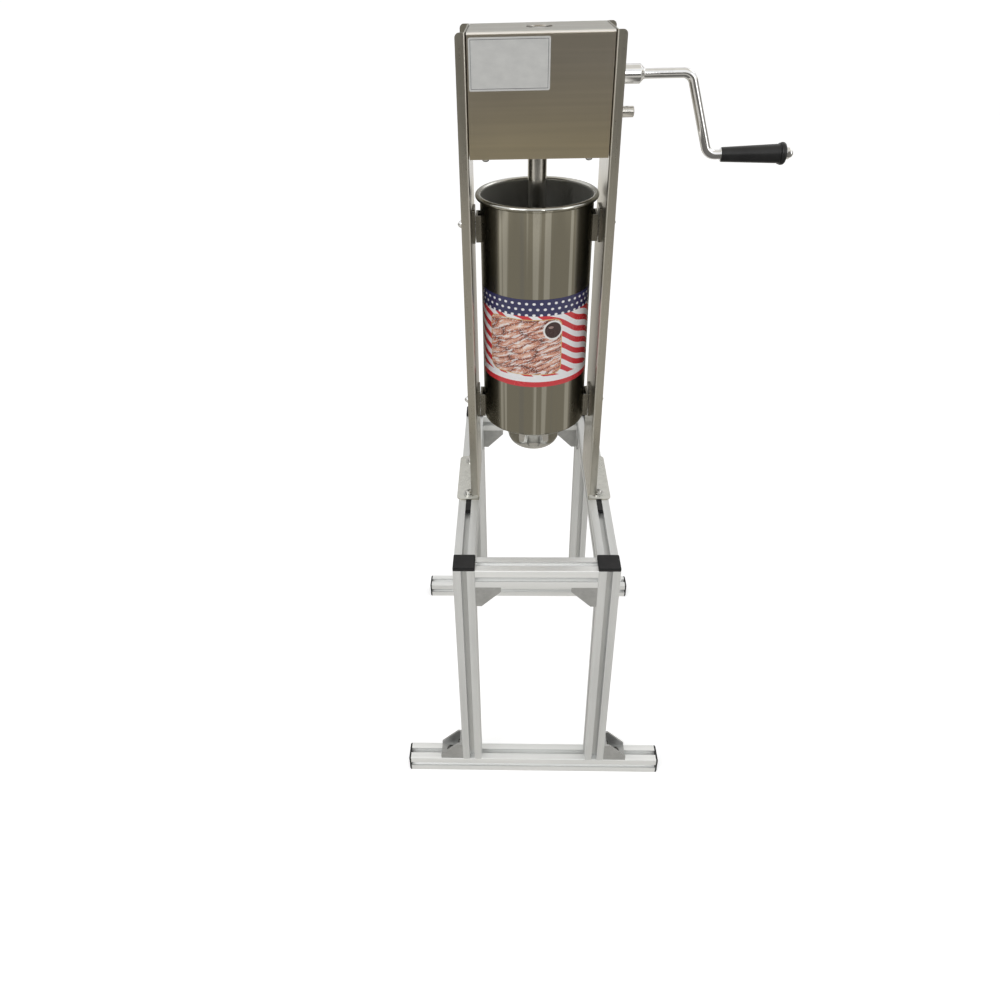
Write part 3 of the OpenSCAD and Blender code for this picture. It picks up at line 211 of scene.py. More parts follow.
def dome_outline(radius: float, rim: float, height: float, socket: float = 0.0) -> np.ndarray:
    """Half section of a domed head: (r cos t, rim + (height - rim) sin t) over an upright rim.

    Args:
        radius: Of the head.
        rim: Height of its upright edge.
        height: Of the whole head.
        socket: Radius of a recess in its crown, 0 for none.

    Returns:
        The outline from the base's pole to the crown's.
    """
    turn = np.linspace(0, math.pi / 2, 13)
    crown = np.stack([radius * np.cos(turn), rim + (height - rim) * np.sin(turn)], axis=1)
    ends = [[0.0, height]]
    if socket > 0:
        crown = crown[crown[:, 0] > socket * 1.08]
        lip = float(crown[-1, 1])
        ends = [[socket, lip], [socket * 0.95, lip - height * 0.45], [0.0, lip - height * 0.5]]
    else:
        crown = crown[:-1]
    return np.concatenate([[[0.0, 0.0], [radius, 0.0]], crown, ends])


@dataclass(frozen=True)
class CapNut:
    """A cap nut along X: a hexagon with eased ends, then a round dome."""

    flat_r: float
    hex_len: float
    dome_r: float
    dome_len: float
    ease: float = 0.0005
    step: float = 0.0002
    corner: float = 1.13
    sides: int = 72

    def shell(self, base: Triple, toward: float = 1.0) -> Shell:
        """The nut's surface.

        The radius at angle t is the distance to the hexagon's side, r / cos(t folded to 30 deg),
        cut off at the corners, and blended to a circle by a share that is 1 over the dome.

        Args:
            base: Middle of the nut's seat.
            toward: 1 if the nut points along X, -1 if against it.

        Returns:
            Points and faces.
        """
        quarter = np.linspace(0, math.pi / 2, 10)
        end, eased = self.hex_len, self.flat_r - self.ease
        along = np.concatenate([[0.0, self.ease, end - self.ease, end, end],
                                end + self.step + (self.dome_len - self.step) * np.sin(quarter)])
        size = np.concatenate([[eased, self.flat_r, self.flat_r, eased, self.dome_r],
                               self.dome_r * np.cos(quarter)])
        roundness = np.concatenate([[0.5, 0.0, 0.0, 0.5, 1.0], np.ones(len(quarter))])
        angle = np.linspace(0, 2 * math.pi, self.sides, endpoint=False)
        folded = (angle + math.pi / 6) % (math.pi / 3) - math.pi / 6
        hexagon = np.minimum(1 / np.cos(folded), self.corner)
        ring = (size[:, None] * (hexagon * (1 - roundness[:, None]) + roundness[:, None]))[:-1]
        pts = np.zeros((len(ring), self.sides, 3))
        pts[..., 0] = toward * along[:-1, None]
        pts[..., 1] = ring * np.cos(angle)
        pts[..., 2] = ring * np.sin(angle)
        poles = np.array([[0.0, 0.0, 0.0], [toward * along[-1], 0.0, 0.0]])
        return ringed(pts + np.array(base), poles + np.array(base))


def swept_in_xz(path: np.ndarray, radius: np.ndarray, y: float, sides: int = 40) -> Shell:
    """A round bar along a path in the plane of X and Z, with a radius of its own at each point.

    The point at angle t is path + r (cos t n + sin t Y), where n is the path's direction turned
    by a right angle in the plane; where the path stands still, the nearest move's direction.

    Args:
        path: (n, 2) places x and z.
        radius: (n,) radii.
        y: The plane's place.
        sides: Points round the bar.

    Returns:
        Points and faces.
    """
    held = supported(np.column_stack([path, radius]), False)
    path, radius = held[:, :2], held[:, 2:]
    along = np.gradient(path, axis=0)
    still = np.linalg.norm(along, axis=1) < 1e-9
    moving = np.flatnonzero(~still)
    along[still] = along[moving[np.abs(moving - np.flatnonzero(still)[:, None]).argmin(axis=1)]]
    along /= np.linalg.norm(along, axis=1, keepdims=True)
    cos_t, sin_t = circle(sides)
    pts = np.zeros((len(path), sides, 3))
    pts[..., 0] = path[:, :1] - radius * along[:, 1:] * cos_t
    pts[..., 1] = y + radius * sin_t
    pts[..., 2] = path[:, 1:] + radius * along[:, :1] * cos_t
    poles = np.array([[path[0, 0], y, path[0, 1]], [path[-1, 0], y, path[-1, 1]]])
    return ringed(pts, poles)


def signed_volume(points: np.ndarray, faces: Iterable[Sequence[int]]) -> float:
    """Volume of a closed shell, below 0 if its faces point inwards: the sum of a . (b x c) / 6.

    Args:
        points: (n, 3) places.
        faces: Corners of each face.

    Returns:
        The volume.
    """
    total = 0.0
    for size in {len(face) for face in faces}:
        rows = np.array([face for face in faces if len(face) == size], int)
        for k in range(1, size - 1):
            a, b, c = points[rows[:, 0]], points[rows[:, k]], points[rows[:, k + 1]]
            total += float(np.einsum("ij,ij->i", a, np.cross(b, c)).sum()) / 6
    return total


def placed(name: str, data: Any) -> bpy.types.Object:
    """A new object that holds some data, linked to the scene."""
    obj = bpy.data.objects.new(name, data)
    bpy.context.scene.collection.objects.link(obj)
    return obj


def new_mesh(name: str, points: np.ndarray, faces: list[list[int]], material: Material,
             uv: np.ndarray | None = None) -> bpy.types.Mesh:
    """A mesh of worked-out points.

    Args:
        name: The mesh's name.
        points: (n, 3) places in the frame.
        faces: Corners of each face.
        material: What the mesh is dressed in.
        uv: (n, 2) surface coordinates of the points, where the material follows the surface.

    Returns:
        The mesh.
    """
    mesh = bpy.data.meshes.new(name)
    mesh.from_pydata(points.tolist(), [], faces)
    if uv is not None:
        layer = mesh.uv_layers.new(name="surface")
        corner = np.zeros(len(mesh.loops), np.int32)
        mesh.loops.foreach_get("vertex_index", corner)
        layer.data.foreach_set("uv", uv[corner].astype(np.float32).ravel())
    mesh.materials.append(material)
    return mesh


# ---------------------------------------------------------------- shader graph


class Graph:
    """A node tree with short calls for adding and joining nodes."""

    def __init__(self, tree: bpy.types.NodeTree) -> None:
        """Starts on an existing tree."""
        self.tree = tree

    def add(self, kind: str, settings: dict[str, Any] | None = None,
            **inputs: Any) -> bpy.types.Node:
        """Adds a node.

        Args:
            kind: Blender's name of the node type, without its ShaderNode.
            settings: Properties of the node.
            **inputs: Values or sockets of its inputs; _ is a space, i0 the first input.

        Returns:
            The node.
        """
        node = self.tree.nodes.new(kind if kind.startswith("Node") else f"ShaderNode{kind}")
        for key, value in (settings or {}).items():
            setattr(node, key, value)
        for key, value in inputs.items():
            numbered = key[0] == "i" and key[1:].isdigit()
            self.feed(node.inputs[int(key[1:]) if numbered else key.replace("_", " ")], value)
        return node

    def feed(self, socket: Socket, value: Any) -> None:
        """Gives a socket a value, or joins it to another node's output."""
        if isinstance(value, Socket):
            self.tree.links.new(value, socket)
        else:
            socket.default_value = (*value, 1.0) if socket.type == "RGBA" else value

    def math(self, operation: str, a: Any, b: Any = 0.0) -> Socket:
        """The result of a Math node."""
        return self.add("Math", {"operation": operation}, i0=a, i1=b).outputs[0]

    def times(self, a: Any, b: Any) -> Socket:
        """The product of two values."""
        return self.math("MULTIPLY", a, b)

    def total(self, first: Any, *others: Any) -> Socket:
        """The sum of some values."""
        for other in others:
            first = self.math("ADD", first, other)
        return first

    def vector(self, operation: str, a: Any, b: Any = (0.0, 0.0, 0.0)) -> Socket:
        """The result of a Vector Math node, its value for a length, distance or dot product."""
        node = self.add("VectorMath", {"operation": operation}, i0=a, i1=b)
        return node.outputs[1 if operation in ("LENGTH", "DOT_PRODUCT", "DISTANCE") else 0]

    def stretched(self, vector: Any, scale: Any) -> Socket:
        """A vector with its parts multiplied."""
        return self.vector("MULTIPLY", vector, scale)

    def parts(self, vector: Any) -> Any:
        """The three parts of a vector."""
        return self.add("SeparateXYZ", Vector=vector).outputs

    def place(self) -> Socket:
        """The place on the object, in the frame's metres."""
        return self.add("TexCoord").outputs["Object"]

    def uv(self) -> Socket:
        """The place on the surface, from 0 to 1 both ways."""
        return self.add("TexCoord").outputs["UV"]

    def group(self, tree: bpy.types.NodeTree, **inputs: Any) -> Any:
        """The outputs of a shared group."""
        return self.add("Group", {"node_tree": tree}, **inputs).outputs

    def span(self, value: Any, low: float, high: float, to_low: float = 0.0, to_high: float = 1.0,
             curve: str = "LINEAR") -> Socket:
        """A value carried from one range to another and kept inside.

        Args:
            value: What is carried.
            low: Start of its range.
            high: End of its range.
            to_low: What low becomes.
            to_high: What high becomes.
            curve: Blender's name of the way between them.

        Returns:
            The carried value.
        """
        node = self.add("MapRange", {"clamp": True, "interpolation_type": curve}, Value=value)
        for k, v in enumerate((low, high, to_low, to_high), start=1):
            node.inputs[k].default_value = v
        return node.outputs[0]

    def mix(self, share: Any, first: Any, second: Any, blend: str = "MIX") -> Socket:
        """Two colours mixed by a share."""
        settings = {"data_type": "RGBA", "blend_type": blend}
        return self.add("Mix", settings, i0=share, i6=first, i7=second).outputs[2]

    def noise(self, where: Any, scale: Any, detail: float = 3.0, rough: float = 0.55) -> Socket:
        """The value of a Noise texture."""
        return self.add("TexNoise", Vector=where, Scale=scale, Detail=detail,
                        Roughness=rough).outputs[0]

    def ramp(self, value: Any, stops: Sequence[tuple[float, Colour]]) -> Socket:
        """A value turned into a colour by an easing ramp.

        Args:
            value: What is looked up.
            stops: Place and colour of each stop.

        Returns:
            The colour.
        """
        node = self.add("ValToRGB", Fac=value)
        node.color_ramp.interpolation = "EASE"
        items = node.color_ramp.elements
        while len(items) < len(stops):
            items.new(1.0)
        for item, (where, colour) in zip(items, stops):
            item.position = where
            item.color = (*colour, 1.0)
        return node.outputs[0]

    def seen(self) -> Socket:
        """1 where the camera, a mirror or a clear body looks, 0 where light is only gathered."""
        path = self.add("LightPath").outputs
        mirrored = self.math("MAXIMUM", path["Is Glossy Ray"], path["Is Transmission Ray"])
        return self.math("MAXIMUM", path["Is Camera Ray"], mirrored)


class MaterialGraph(Graph):
    """The node tree of a new material."""

    def __init__(self, name: str) -> None:
        """Makes the material, with an empty tree."""
        self.material = bpy.data.materials.new(name)
        self.material.use_nodes = True
        self.material.node_tree.nodes.clear()
        super().__init__(self.material.node_tree)

    def principled(self, base: Any, rough: Any, bump: tuple[Any, float, float] | None = None,
                   **inputs: Any) -> Material:
        """Ends the tree in a Principled shader.

        Args:
            base: Base colour.
            rough: Roughness.
            bump: Height field, strength and distance of the relief.
            **inputs: The shader's other inputs; _ stands for a space.

        Returns:
            The material.
        """
        if bump:
            inputs["Normal"] = self.add("Bump", Height=bump[0], Strength=bump[1],
                                        Distance=bump[2]).outputs[0]
        shader = self.add("BsdfPrincipled", Base_Color=base, Roughness=rough, **inputs)
        self.add("OutputMaterial", Surface=shader.outputs[0])
        return self.material


class SharedEffects:
    """Shader node groups that several finishes use, each built once."""

    def __init__(self) -> None:
        """Builds all the groups."""
        self.grain = self._grain()
        self.edges = self._edges()
        self.smudge = self._smudge()

    @staticmethod
    def _start(name: str, inputs: dict[str, Any], outputs: Sequence[str]) -> tuple[Graph, Any, Any]:
        """A new group with its sockets.

        Args:
            name: The group's name.
            inputs: Default of each input, a vector where it has three parts.
            outputs: Names of the outputs.

        Returns:
            The group's graph, its input values and its output sockets.
        """
        tree = bpy.data.node_groups.new(name, "ShaderNodeTree")
        for label, value in inputs.items():
            kind = "NodeSocketFloat" if isinstance(value, float) else "NodeSocketVector"
            tree.interface.new_socket(label, in_out="INPUT", socket_type=kind).default_value = value
        for label in outputs:
            tree.interface.new_socket(label, in_out="OUTPUT", socket_type="NodeSocketFloat")
        g = Graph(tree)
        return g, g.add("NodeGroupInput").outputs, g.add("NodeGroupOutput").inputs

    def _grain(self) -> bpy.types.NodeTree:
        """Brushing: fine and coarse noise, multiplied by Stretch per axis.

        Returns:
            The group.
        """
        g, given, out = self._start("brushed_grain", {"Stretch": ALONG[Axis.Z], "Scale": 900.0},
                                    ("Grain", "Streak"))
        where = g.stretched(g.place(), given["Stretch"])
        coarse = g.noise(where, g.times(given["Scale"], 0.16), 2.0, 0.5)
        g.feed(out["Grain"], g.noise(where, given["Scale"], 4.0, 0.7))
        g.feed(out["Streak"], g.span(coarse, 0.3, 0.7))
        return g.tree

    def _edges(self) -> bpy.types.NodeTree:
        """Edges: where the rounded normal within Radius leaves the surface's own, broken up.

        Returns:
            The group.
        """
        # this mask marks the edges where finishes paint a highlight
        g, given, out = self._start("painted_edge_mask", {"Radius": 0.0006, "Breakup": 0.4}, ("Mask",))
        soft = g.add("Bevel", {"samples": 4}, Radius=given["Radius"]).outputs[0]
        own = g.add("NewGeometry").outputs["Normal"]
        turn = g.math("SUBTRACT", 1.0, g.vector("DOT_PRODUCT", soft, own))
        broken = g.math("SUBTRACT", 1.0, g.times(g.noise(g.place(), 160.0, 2.0), given["Breakup"]))
        g.feed(out["Mask"], g.times(g.span(turn, 0.02, 0.2), broken))
        return g.tree

    def _smudge(self) -> bpy.types.NodeTree:
        """Handling marks: two scales of noise multiplied, so that marks come in patches.

        Returns:
            The group.
        """
        g, given, out = self._start("handling_marks", {"Scale": 14.0}, ("Mask",))
        where = g.place()
        broad = g.span(g.noise(where, given["Scale"], 3.0, 0.5), 0.38, 0.72)
        fine = g.span(g.noise(where, 210.0, 4.0, 0.65), 0.3, 0.75)
        g.feed(out["Mask"], g.times(broad, fine))
        return g.tree


# ---------------------------------------------------------------- finishes


@dataclass(frozen=True)
class MetalFinish:
    """A metal with directional grain, tone variation, handling marks and painted edge highlights.

    The tone patches take `tone` for `colour`; with tone_rise they come in between those two
    heights. Folds get a painted highlight by a share of their own, and faces that look up take
    `crown`, a lighter colour painted on their tops.
    """

    name: str
    colour: Colour
    tone: Colour
    roughness: float
    stretch: Triple = EVEN
    grain_scale: float = 700.0
    grain_depth: float = 0.05
    grain_rough: float = 0.06
    tone_scale: float = 30.0
    edge_radius: float = 0.0005
    edge_highlight: float = 0.4
    marks: float = 0.05
    metallic: float = 1.0
    fold_highlight: float = 0.0
    tone_rise: tuple[float, float] | None = None
    crown: Colour | None = None

    def tones(self, g: Graph, edge_mask: Any, streak: Any) -> Any:
        """The metal's colour: patches, grain streaks, painted highlights on edges, folds and tops.

        Args:
            g: The material's graph.
            edge_mask: Where the edges are.
            streak: The grain's coarse streaks.

        Returns:
            The base colour.
        """
        where = g.place()
        patches = g.noise(where, self.tone_scale, 2.0)
        share = g.span(patches, 0.36, 0.64)
        # tone_rise brings the tone in towards the bottom; on the cover this is a painted reflection
        if self.tone_rise:
            rise = g.span(g.parts(where)[2], *self.tone_rise)
            share = g.times(rise, g.span(patches, 0.3, 0.6, 0.5, 1.0))
        base = g.mix(share, self.colour, self.tone)
        # faces that look up take the crown colour, painted light on their tops
        if self.crown:
            facing = g.parts(g.add("NewGeometry").outputs["True Normal"])
            base = g.mix(g.span(facing[2], 0.8, 0.95), base, self.crown)
        level = g.span(streak, 0.0, 1.0, 0.93, 1.05)
        grey = g.add("CombineColor", Red=level, Green=level, Blue=level).outputs[0]
        base = g.mix(1.0, base, grey, "MULTIPLY")
        # edges take a lighter colour, a painted highlight
        painted_edge_colour = tuple(min(1.0, c * 1.35 + 0.06) for c in self.colour)
        base = g.mix(g.times(edge_mask, self.edge_highlight), base, painted_edge_colour)
        # folds take a near-white colour, a painted highlight
        if self.fold_highlight > 0:
            base = g.mix(g.times(self.folds(g), self.fold_highlight), base, (0.95, 0.94, 0.91))
        return base

    def build(self, effects: SharedEffects) -> Material:
        """The material's node tree.

        Args:
            effects: The shared groups.

        Returns:
            The material.
        """
        g = MaterialGraph(self.name)
        grain = g.group(effects.grain, Stretch=self.stretch, Scale=self.grain_scale)
        edges = g.group(effects.edges, Radius=self.edge_radius)
        marks = g.group(effects.smudge)
        rough = g.total(self.roughness - self.grain_rough / 2,
                        g.times(grain["Grain"], self.grain_rough),
                        g.times(marks["Mask"], self.marks))
        return g.principled(self.tones(g, edges["Mask"], grain["Streak"]), rough,
                            (grain["Grain"], self.grain_depth, 0.001), Metallic=self.metallic)

    @staticmethod
    def folds(g: Graph) -> Socket:
        """Where a sheet is folded: its own normal leans away from all three axes.

        Args:
            g: The material's graph.

        Returns:
            1 on a fold, 0 off it.
        """
        normal = g.add("NewGeometry").outputs["True Normal"]
        parts = g.parts(g.vector("ABSOLUTE", normal))
        largest = g.math("MAXIMUM", g.math("MAXIMUM", parts[0], parts[1]), parts[2])
        return g.span(g.math("SUBTRACT", 1.0, largest), 0.03, 0.14)


@dataclass(frozen=True)
class MouldedFinish:
    """A moulded plastic or rubber with fine skin texture and a painted highlight on its edges."""

    name: str
    colour: Colour
    tone: Colour
    roughness: float
    skin_scale: float = 1500.0
    skin_depth: float = 0.12
    edge_highlight: float = 0.2
    sheen: float = 0.3

    def build(self, effects: SharedEffects) -> Material:
        """The material's node tree.

        Args:
            effects: The shared groups.

        Returns:
            The material.
        """
        g = MaterialGraph(self.name)
        where = g.place()
        edges = g.group(effects.edges, Radius=0.0006)
        marks = g.group(effects.smudge, Scale=30.0)
        base = g.mix(g.span(g.noise(where, 40.0), 0.35, 0.65), self.colour, self.tone)
        # edges take a paler colour, a painted highlight
        pale = tuple(min(1.0, c * 1.5 + 0.06) for c in self.colour)
        base = g.mix(g.times(edges["Mask"], self.edge_highlight), base, pale)
        rough = g.total(self.roughness, g.times(marks["Mask"], 0.12))
        skin = g.noise(where, self.skin_scale, 2.0)
        return g.principled(base, rough, (skin, self.skin_depth, 0.0004),
                            Specular_IOR_Level=self.sheen)


@dataclass(frozen=True)
class PolishedVesselFinish:
    """Mirror-polished stainless of a spun cylinder: olive-brown painted reflections, fine
    hairlines.
    """

    name: str
    light: Colour
    olive: Colour
    dark: Colour
    inside_r: float
    rim_z: float
    # the rim's colour is a painted highlight, the inside's is painted shade
    rim: Colour = (0.55, 0.55, 0.52)
    inside: Colour = (0.42, 0.42, 0.4)
    roughness: float = 0.07

    def build(self, effects: SharedEffects) -> Material:
        """Painted reflection bands round the axis; flanks darker by painted shade, and duller.

        Args:
            effects: The shared groups.

        Returns:
            The material.
        """
        g = MaterialGraph(self.name)
        where = g.place()
        centred = g.add("Mapping", Vector=where, Location=(-AXIS_X, 0.0, 0.0)).outputs[0]
        outward = g.stretched(centred, (1.0, 1.0, 0.0))
        unit = g.vector("NORMALIZE", outward)
        drift = g.vector("ADD", unit, g.stretched(centred, (0.0, 0.0, 0.12)))
        # the bands are painted reflections, set by the angle round the axis
        bands = g.total(g.times(g.noise(unit, 1.7, 1.0), 0.56),
                        g.times(g.noise(drift, 4.2, 2.0), 0.44))
        # painted shade: the flanks go dark and duller
        painted_flank_shade = g.span(g.math("ABSOLUTE", g.parts(unit)[0]), 0.64, 0.7, 0.0, 0.2)
        base = g.ramp(g.total(bands, painted_flank_shade), [
            (0.38, self.dark), (0.43, self.olive), (0.47, self.olive), (0.49, self.light),
            (0.53, self.light), (0.55, self.olive), (0.60, self.olive), (0.62, self.dark)])
        # one tone each: the rolled rim lighter, a painted highlight; the inside dimmer, painted
        # shade
        inside = g.math("LESS_THAN", g.vector("LENGTH", outward), self.inside_r)
        base = g.mix(g.math("GREATER_THAN", g.parts(where)[2], self.rim_z), base, self.rim)
        base = g.mix(inside, base, self.inside)
        hair = g.noise(g.stretched(centred, (1.0, 1.0, 0.012)), 1400.0, 3.0, 0.7)
        marks = g.group(effects.smudge, Scale=11.0)
        rough = g.total(self.roughness, g.times(inside, 0.3), g.times(painted_flank_shade, 0.7),
                        g.times(hair, 0.05), g.times(marks["Mask"], 0.1))
        return g.principled(base, rough, (hair, 0.025, 0.0006), Metallic=1.0)


@dataclass(frozen=True)
class WrapPrintFinish:
    """A glossy printed film with a pattern of its own: a tray of baked sticks, dots and stripes."""

    name: str
    width: float = 0.2
    height: float = 0.125
    red: Colour = (0.6, 0.035, 0.045)
    white: Colour = (0.82, 0.81, 0.82)
    navy: Colour = (0.03, 0.03, 0.1)
    crumb: Colour = (0.05, 0.016, 0.01)
    sugar: Colour = (0.88, 0.84, 0.8)
    dotted_band: float = 0.0225
    dots_across: float = 104.0
    dots_up: float = 130.0
    dots_shift: float = 0.0048
    tray_at: Triple = (0.083, 0.058, 0.0)
    tray_half: Triple = (0.04, 0.028, 0.0)
    cup_at: Triple = (0.122, 0.082, 0.0)

    def ground(self, g: Graph, place: Any) -> Socket:
        """Slanting wavy stripes, a dotted band above them, and two plain bands below.

        Args:
            g: The material's graph.
            place: Metres across and up the film.

        Returns:
            The colour.
        """
        x, y = g.parts(place)[:2]
        wave = g.times(g.math("SINE", g.times(x, 130.0)), 0.0016)
        slant = g.total(y, g.times(x, 0.5), wave)
        stripe = g.math("GREATER_THAN", g.math("FRACT", g.times(slant, 62.0)), 0.5)
        colour = g.mix(stripe, self.white, self.red)
        # every second row of dots is set over by half a cell
        shift = g.times(g.math("FLOOR", g.times(y, self.dots_up)), self.dots_shift)
        moved = g.vector("ADD", place, g.add("CombineXYZ", X=shift).outputs[0])
        cell = g.vector("FRACTION", g.stretched(moved, (self.dots_across, self.dots_up, 1.0)))
        spot = g.vector("DISTANCE", g.stretched(cell, (1.0, 1.0, 0.0)), (0.5, 0.5, 0.0))
        dots = g.mix(g.math("LESS_THAN", spot, 0.22), self.navy, self.white)
        colour = g.mix(g.math("GREATER_THAN", y, self.height - self.dotted_band), colour, dots)
        colour = g.mix(g.math("LESS_THAN", y, 0.016), colour, self.white)
        return g.mix(g.math("LESS_THAN", y, 0.0075), colour, self.red)

    def sticks(self, g: Graph, place: Any) -> Socket:
        """A heap of sugared, ridged sticks: stretched cells, dark in the gaps between them.

        Args:
            g: The material's graph.
            place: Metres across and up the film.

        Returns:
            The colour.
        """
        wander = g.add("TexNoise", Vector=place, Scale=34.0, Detail=1.0).outputs[1]
        wander = g.stretched(g.vector("SUBTRACT", wander, (0.5, 0.5, 0.5)), (0.009, 0.009, 0.0))
        slanted = g.add("Mapping", Vector=g.vector("ADD", place, wander),
                        Rotation=(0.0, 0.0, -0.4)).outputs[0]
        cells = g.stretched(slanted, (27.0, 124.0, 1.0))
        edge, tone = (
            g.add("TexVoronoi", {"voronoi_dimensions": "2D", "feature": feature}, Vector=cells,
                  Scale=1.0, Randomness=0.9).outputs[output]
            for feature, output in (("DISTANCE_TO_EDGE", "Distance"), ("F1", "Color")))
        bake = g.ramp(edge, [(0.0, self.crumb), (0.05, (0.32, 0.09, 0.055)),
                             (0.16, (0.6, 0.25, 0.16)), (0.42, (0.86, 0.56, 0.43))])
        share = g.add("SeparateColor", Color=tone).outputs[0]
        bake = g.mix(1.0, bake, g.mix(share, (0.84, 0.62, 0.54), (1.0, 0.98, 0.94)), "MULTIPLY")
        ridge = g.span(g.math("SINE", g.times(g.parts(cells)[1], 19.0)), -1.0, 1.0, 0.0, 0.2)
        bake = g.mix(ridge, bake, (0.2, 0.07, 0.04))
        grains = g.math("GREATER_THAN", g.noise(place, 620.0, 2.0), 0.58)
        bake = g.mix(g.times(grains, 0.6), bake, self.sugar)
        dusting = g.span(g.noise(cells, 2.6, 2.0), 0.54, 0.6, 0.0, 0.75)
        return g.mix(dusting, bake, (0.9, 0.86, 0.84))

    def build(self, effects: SharedEffects) -> Material:
        """The print, worked out from the film's own UV, taken to metres.

        Args:
            effects: The shared groups.

        Returns:
            The material.
        """
        g = MaterialGraph(self.name)
        uv = g.uv()
        place = g.stretched(uv, (self.width, self.height, 0.0))
        base = self.ground(g, place)
        # the tray: distance to a box with rounded corners
        away = g.vector("SUBTRACT", g.vector("ABSOLUTE", g.vector("SUBTRACT", place, self.tray_at)),
                        self.tray_half)
        tray = g.vector("LENGTH", g.vector("MAXIMUM", away, (0.0, 0.0, 0.0)))
        cup = g.vector("DISTANCE", place, self.cup_at)
        glint = g.vector("DISTANCE", g.stretched(place, (1.0, 2.0, 0.0)), (0.119, 0.172, 0.0))
        for field_value, reach, colour in (
            (tray, 0.0118, (0.66, 0.42, 0.16)), (tray, 0.0108, self.sticks(g, place)),
            (cup, 0.0135, (0.8, 0.79, 0.77)), (cup, 0.0112, (0.045, 0.02, 0.02)),
            (glint, 0.0035, (0.3, 0.2, 0.18)),
        ):
            base = g.mix(g.math("LESS_THAN", field_value, reach), base, colour)
        marks = g.group(effects.smudge, Scale=20.0)
        return g.principled(base, g.total(0.24, g.times(marks["Mask"], 0.15)),
                            (g.noise(uv, 14.0, 2.0), 0.05, 0.001), Coat_Weight=0.3)


@dataclass(frozen=True)
class BlankFilmFinish:
    """A blank satin film plate with a thin dark border line."""

    name: str
    pale: Colour = (0.56, 0.56, 0.54)
    tone: Colour = (0.5, 0.5, 0.485)
    ink: Colour = (0.1, 0.1, 0.11)

    def build(self, effects: SharedEffects) -> Material:
        """The plate's film, whose border is where its own UV comes near its sides.

        Args:
            effects: The shared groups.

        Returns:
            The material.
        """
        g = MaterialGraph(self.name)
        uv = g.uv()
        across, up = (g.math("PINGPONG", part, 0.5) for part in g.parts(uv)[:2])
        side = g.math("MINIMUM", across, g.times(up, 0.6))
        line = g.times(g.math("GREATER_THAN", side, 0.022), g.math("LESS_THAN", side, 0.028))
        film = g.mix(g.span(g.noise(uv, 6.0), 0.3, 0.7), self.pale, self.tone)
        base = g.mix(line, film, self.ink)
        marks = g.group(effects.smudge, Scale=25.0)
        return g.principled(base, g.total(0.34, g.times(marks["Mask"], 0.2)),
                            (g.noise(uv, 60.0), 0.04, 0.0004))


